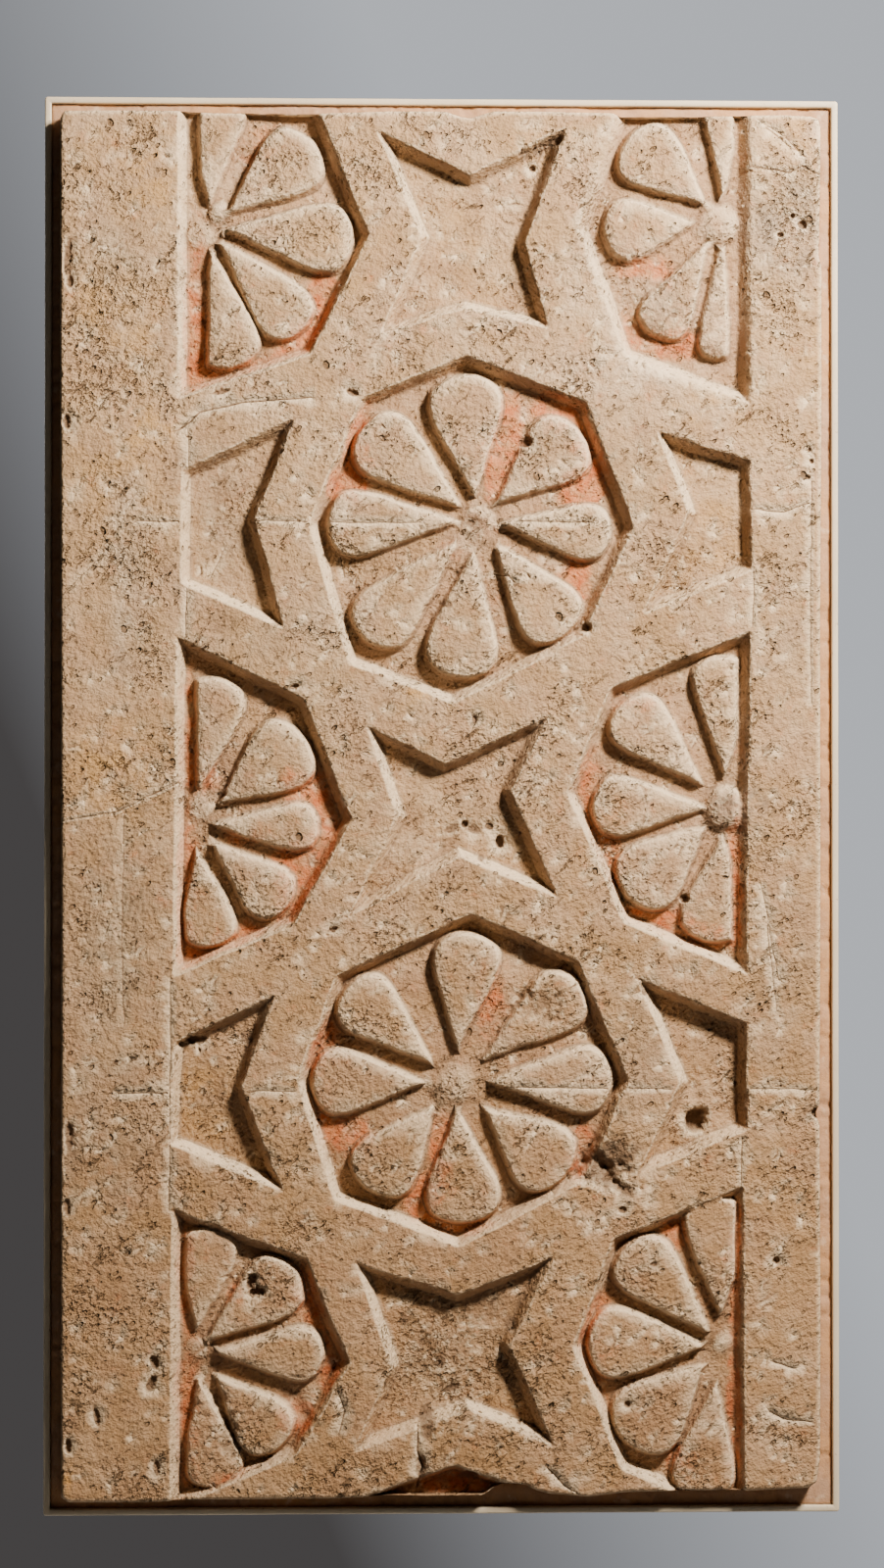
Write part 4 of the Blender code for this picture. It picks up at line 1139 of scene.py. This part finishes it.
def plaster_finish():
    """Dry beige plaster: mottled, pored, with remains of orange-red pigment in the octagons."""
    f = Finish("carved_plaster_finish")
    slanted = f.turned(50, (1.0, 1.0, 1.7))
    patches = f.noise(38.0, 4.0, 0.6, distort=0.4)
    colour = f.mix(f.cloudy(9.0, 4.0, 0.6, 0.35, 0.65), (0.425, 0.267, 0.138), (0.495, 0.324, 0.182))
    colour = f.mix(f.between(patches, 0.45, 0.70, 0.0, 0.4), colour, (0.37, 0.23, 0.12))
    colour = f.wash(colour, f.cloudy(31.0, 3.0, 0.6, 0.42, 0.62), 0.45, (0.48, 0.305, 0.195))
    colour = f.wash(colour, f.between(patches, 0.55, 0.3), 0.5, (0.63, 0.455, 0.30))
    # Zones of colour, each broken up by clouds, the pale one mostly a painted highlight on lit walls
    for zone, clouds, strength, shade in (
            ("ochre", (55.0, 4.0, 0.65, 0.38, 0.62), 0.9, (0.60, 0.34, 0.115)),
            ("grey", (45.0, 5.0, 0.65, 0.33, 0.60), 0.95, (0.30, 0.24, 0.18)),
            ("pale", (80.0, 4.0, 0.60, 0.35, 0.60), 0.7, (0.86, 0.69, 0.50))):
        colour = f.wash(colour, f.math("MULTIPLY", f.mask(zone), f.cloudy(*clouds)), strength, shade)
    # Stained octagons and what is left of their pigment
    stain = f.math("MULTIPLY", f.mask("octagon"), f.cloudy(30.0, 4.0, 0.6, 0.35, 0.65, 0.15, 0.6))
    colour = f.mix(stain, colour, (0.40, 0.235, 0.145))
    broken = f.math("ADD", f.mask("pigment"), f.math("MULTIPLY", f.noise(75.0, 5.0, 0.7), 1.5))
    orange = f.mix(f.cloudy(120.0, 4.0, 0.6, 0.35, 0.65), (0.52, 0.135, 0.045), (0.68, 0.28, 0.12))
    colour = f.wash(colour, f.between(broken, 0.85, 1.35), 0.92, orange)
    # Browner towards the lower end
    height = f.node("ShaderNodeSeparateXYZ", Vector=f.coords).outputs["Z"]
    colour = f.mix(f.between(height, 0.22, -0.42), colour, (0.90, 0.82, 0.74), "MULTIPLY")
    # Deep ground painted darker: painted shade in the recesses, with some dirt
    darkening = f.math("MULTIPLY", f.mask("ground"), f.cloudy(60.0, 4.0, 0.6, 0.40, 0.72, 0.0, 0.6))
    colour = f.mix(darkening, colour, (0.33, 0.20, 0.11))
    # Painted highlight facing the key light and on worn crests; painted shade facing away and in dirty
    # hollows
    for mask, strength, shade in (("lit_side_highlight", 0.75, (0.97, 0.79, 0.55)), ("unlit_side_shade", 0.5, (0.25, 0.16, 0.10)),
                                  ("hollow", 0.85, (0.16, 0.10, 0.062)), ("crest", 0.55, (0.94, 0.76, 0.53))):
        colour = f.wash(colour, f.mask(mask), strength, shade)
    # Grit and pores, more crowded in some places
    crowd = f.between(f.math("ADD", f.noise(24.0, 4.0, 0.65), f.math("MULTIPLY", f.mask("pitted"), 0.09)),
                      0.46, 0.74, 0.06, 0.90)
    grit = f.noise(400.0, 2.0, 0.6, f.turned(50, (1.0, 1.0, 1.4)))
    amount = f.math("ADD", f.math("MULTIPLY", crowd, 0.7), 0.35)
    for low, high, strength, shade in ((0.55, 0.66, 0.36, (0.29, 0.175, 0.095)),
                                       (0.45, 0.34, 0.18, (0.85, 0.65, 0.43))):
        colour = f.mix(f.math("MULTIPLY", f.between(grit, low, high), f.math("MULTIPLY", amount, strength)),
                       colour, shade)
    colour = f.wash(colour, f.cloudy(230.0, 4.0, 0.65, 0.5, 0.72), 0.25, (0.34, 0.21, 0.12))
    fine = f.pits(430.0, crowd, 0.46, slanted)
    middle = f.pits(260.0, f.math("MULTIPLY", crowd, 0.35), 0.36, slanted)
    large = f.pits(120.0, f.math("MULTIPLY", crowd, 0.12), 0.24, f.turned(-20, (1.0, 1.0, 1.3)))
    nicks = f.between(f.noise(170.0, 4.0, 0.7, f.turned(48, (1.0, 1.0, 2.4))), 0.62, 0.665)
    nicks = f.math("MULTIPLY", nicks, f.between(crowd, 0.0, 0.35, 0.35, 1.0))
    small = f.math("MAXIMUM", f.math("MULTIPLY", fine, 0.45), f.math("MULTIPLY", middle, 0.7))
    pores = f.math("MAXIMUM", small, f.math("MAXIMUM", large, nicks))
    # Pores and nicks painted dark: painted shade inside them
    colour = f.wash(colour, pores, 0.85, (0.16, 0.095, 0.05))
    # Darker in pits, worn hollows and cracks
    colour = f.wash(colour, f.mask("dark"), 0.75, (0.17, 0.105, 0.065))
    normal = f.bump(f.noise(60.0, 3.0, 0.6, f.turned(38, (1.0, 1.0, 14.0))), 0.0010, None, 0.5)
    normal = f.bump(f.noise(95.0, 3.0, 0.6), 0.0028, normal, 0.5)
    normal = f.bump(f.math("MULTIPLY", grit, amount), -0.0050, normal, 1.0)
    normal = f.bump(f.noise(1100.0, 3.0, 0.7), 0.0004, normal, 0.5)
    normal = f.bump(f.math("MULTIPLY", pores, -1.0), 0.0030, normal, 1.0)
    return f.finish(colour, 0.92, normal, 0.15)


def mortar_finish():
    """Orange-brown mortar, sandy and stained."""
    f = Finish("setting_mortar_finish")
    colour = f.mix(f.cloudy(22.0, 4.0, 0.6, 0.35, 0.65), (0.56, 0.31, 0.155), (0.50, 0.31, 0.20))
    colour = f.mix(f.cloudy(140.0, 4.0, 0.65, 0.45, 0.75, 0.0, 0.6), colour, (0.32, 0.17, 0.09))
    colour = f.mix(f.cloudy(90.0, 4.0, 0.6, 0.58, 0.7, 0.0, 0.5), colour, (0.72, 0.55, 0.40))
    normal = f.bump(f.noise(260.0, 4.0, 0.7), 0.0012, None, 0.6)
    normal = f.bump(f.noise(1300.0, 2.0, 0.6), 0.0004, normal, 0.6)
    return f.finish(colour, 0.95, normal, 0.15)


def paint_finish():
    """Cream paint brushed on thin boards, a little dirty and rubbed."""
    f = Finish("cream_paint_finish")
    colour = f.mix(f.cloudy(14.0, 4.0, 0.6, 0.35, 0.65), (0.74, 0.645, 0.49), (0.68, 0.58, 0.43))
    colour = f.mix(f.cloudy(160.0, 4.0, 0.65, 0.55, 0.75, 0.0, 0.35), colour, (0.50, 0.40, 0.28))
    colour = f.mix(f.cloudy(330.0, 3.0, 0.6, 0.66, 0.74, 0.0, 0.7), colour, (0.40, 0.30, 0.20))
    normal = f.bump(f.noise(40.0, 4.0, 0.6, f.turned(0, (1.0, 1.0, 12.0))), 0.0005, None, 0.4)
    normal = f.bump(f.noise(500.0, 3.0, 0.6), 0.0003, normal, 0.5)
    return f.finish(colour, f.cloudy(60.0, 3.0, 0.6, 0.3, 0.7, 0.42, 0.6), normal, 0.4)


def floor_finish():
    """Plain pale floor with a very slight grain."""
    f = Finish("floor_finish")
    colour = f.mix(f.noise(1.5, 2.0), (0.66, 0.66, 0.66), (0.70, 0.70, 0.70))
    return f.finish(colour, 0.8, f.bump(f.noise(30.0, 2.0), 0.001, None, 0.1), 0.2)


def area_light(name, place, target, size, power, colour):
    """A round soft light aimed at a point."""
    data = bpy.data.lights.new(name, "AREA")
    data.shape = "DISK"
    data.size = size
    data.energy = power
    data.color = colour
    item = bpy.data.objects.new(name, data)
    item.location = place
    item.rotation_euler = (Vector(target) - Vector(place)).to_track_quat("-Z", "Y").to_euler()
    bpy.context.scene.collection.objects.link(item)


def studio():
    """Camera at the photograph's place, the three lights, a pale floor well below and grey
    surroundings."""
    camera_data = bpy.data.cameras.new("photo_camera")
    camera_data.sensor_fit = "VERTICAL"
    camera_data.sensor_height = SENSOR_HEIGHT
    camera_data.lens = FOCAL_PIXELS / PHOTO_HEIGHT * SENSOR_HEIGHT
    camera_data.clip_end = 60.0
    camera = bpy.data.objects.new("photo_camera", camera_data)
    camera.location = CAMERA_PLACE
    camera.rotation_euler = (math.pi / 2 + CAMERA_PITCH, 0.0, -CAMERA_YAW)
    bpy.context.scene.collection.objects.link(camera)
    bpy.context.scene.camera = camera
    for name, values in LIGHTS.items():
        area_light(name, *values)
    corners = [(x, y, FLOOR_Z) for x, y in ((-4, -4), (4, -4), (4, 3), (-4, 3))]
    floor = mesh_object("studio_floor", corners, [(0, 1, 2, 3)], False)
    floor.data.materials.append(floor_finish())
    studio_air()


def studio_air():
    """Grey surroundings, lighter to the upper right with painted shade to the lower left, which light the
    object only dimly.
    """
    world = bpy.data.worlds.new("studio_air")
    bpy.context.scene.world = world
    world.use_nodes = True
    tree = world.node_tree
    tree.nodes.clear()
    output, seen, unseen, join, path, coords, lean, share, shade = (
        tree.nodes.new("ShaderNode" + kind) for kind in (
            "OutputWorld", "Background", "Background", "MixShader", "LightPath", "TexCoord", "VectorMath",
            "MapRange", "Mix"))
    lean.operation = "DOT_PRODUCT"
    lean.inputs[1].default_value = (2.3, 0.0, 0.95)
    share.inputs["From Min"].default_value = -0.16
    share.inputs["From Max"].default_value = 0.22
    shade.data_type = "RGBA"
    # Painted shade to the lower left of the backdrop, lighter to the upper right
    shade.inputs["A"].default_value = (0.066, 0.062, 0.062, 1.0)
    shade.inputs["B"].default_value = (0.53, 0.555, 0.60, 1.0)
    unseen.inputs["Color"].default_value = (0.235, 0.24, 0.25, 1.0)
    unseen.inputs["Strength"].default_value = 0.02
    for source, target in (
            (coords.outputs["Generated"], lean.inputs[0]),
            (lean.outputs["Value"], share.inputs["Value"]),
            (share.outputs["Result"], shade.inputs["Factor"]),
            (shade.outputs["Result"], seen.inputs["Color"]),
            (path.outputs["Is Camera Ray"], join.inputs["Fac"]),
            (unseen.outputs["Background"], join.inputs[1]),
            (seen.outputs["Background"], join.inputs[2]),
            (join.outputs["Shader"], output.inputs["Surface"])):
        tree.links.new(source, target)


def dress(item, finish, node):
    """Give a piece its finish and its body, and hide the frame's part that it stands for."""
    item.data.materials.append(finish)
    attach(item, "root")
    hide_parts(node)


studio()
slab, slab_ring = carved_slab()
dress(slab, plaster_finish(), "frieze_slab")
dress(mortar_bed(slab_ring), mortar_finish(), "setting_bed")
dress(painted_tray(), paint_finish(), "mount_tray")
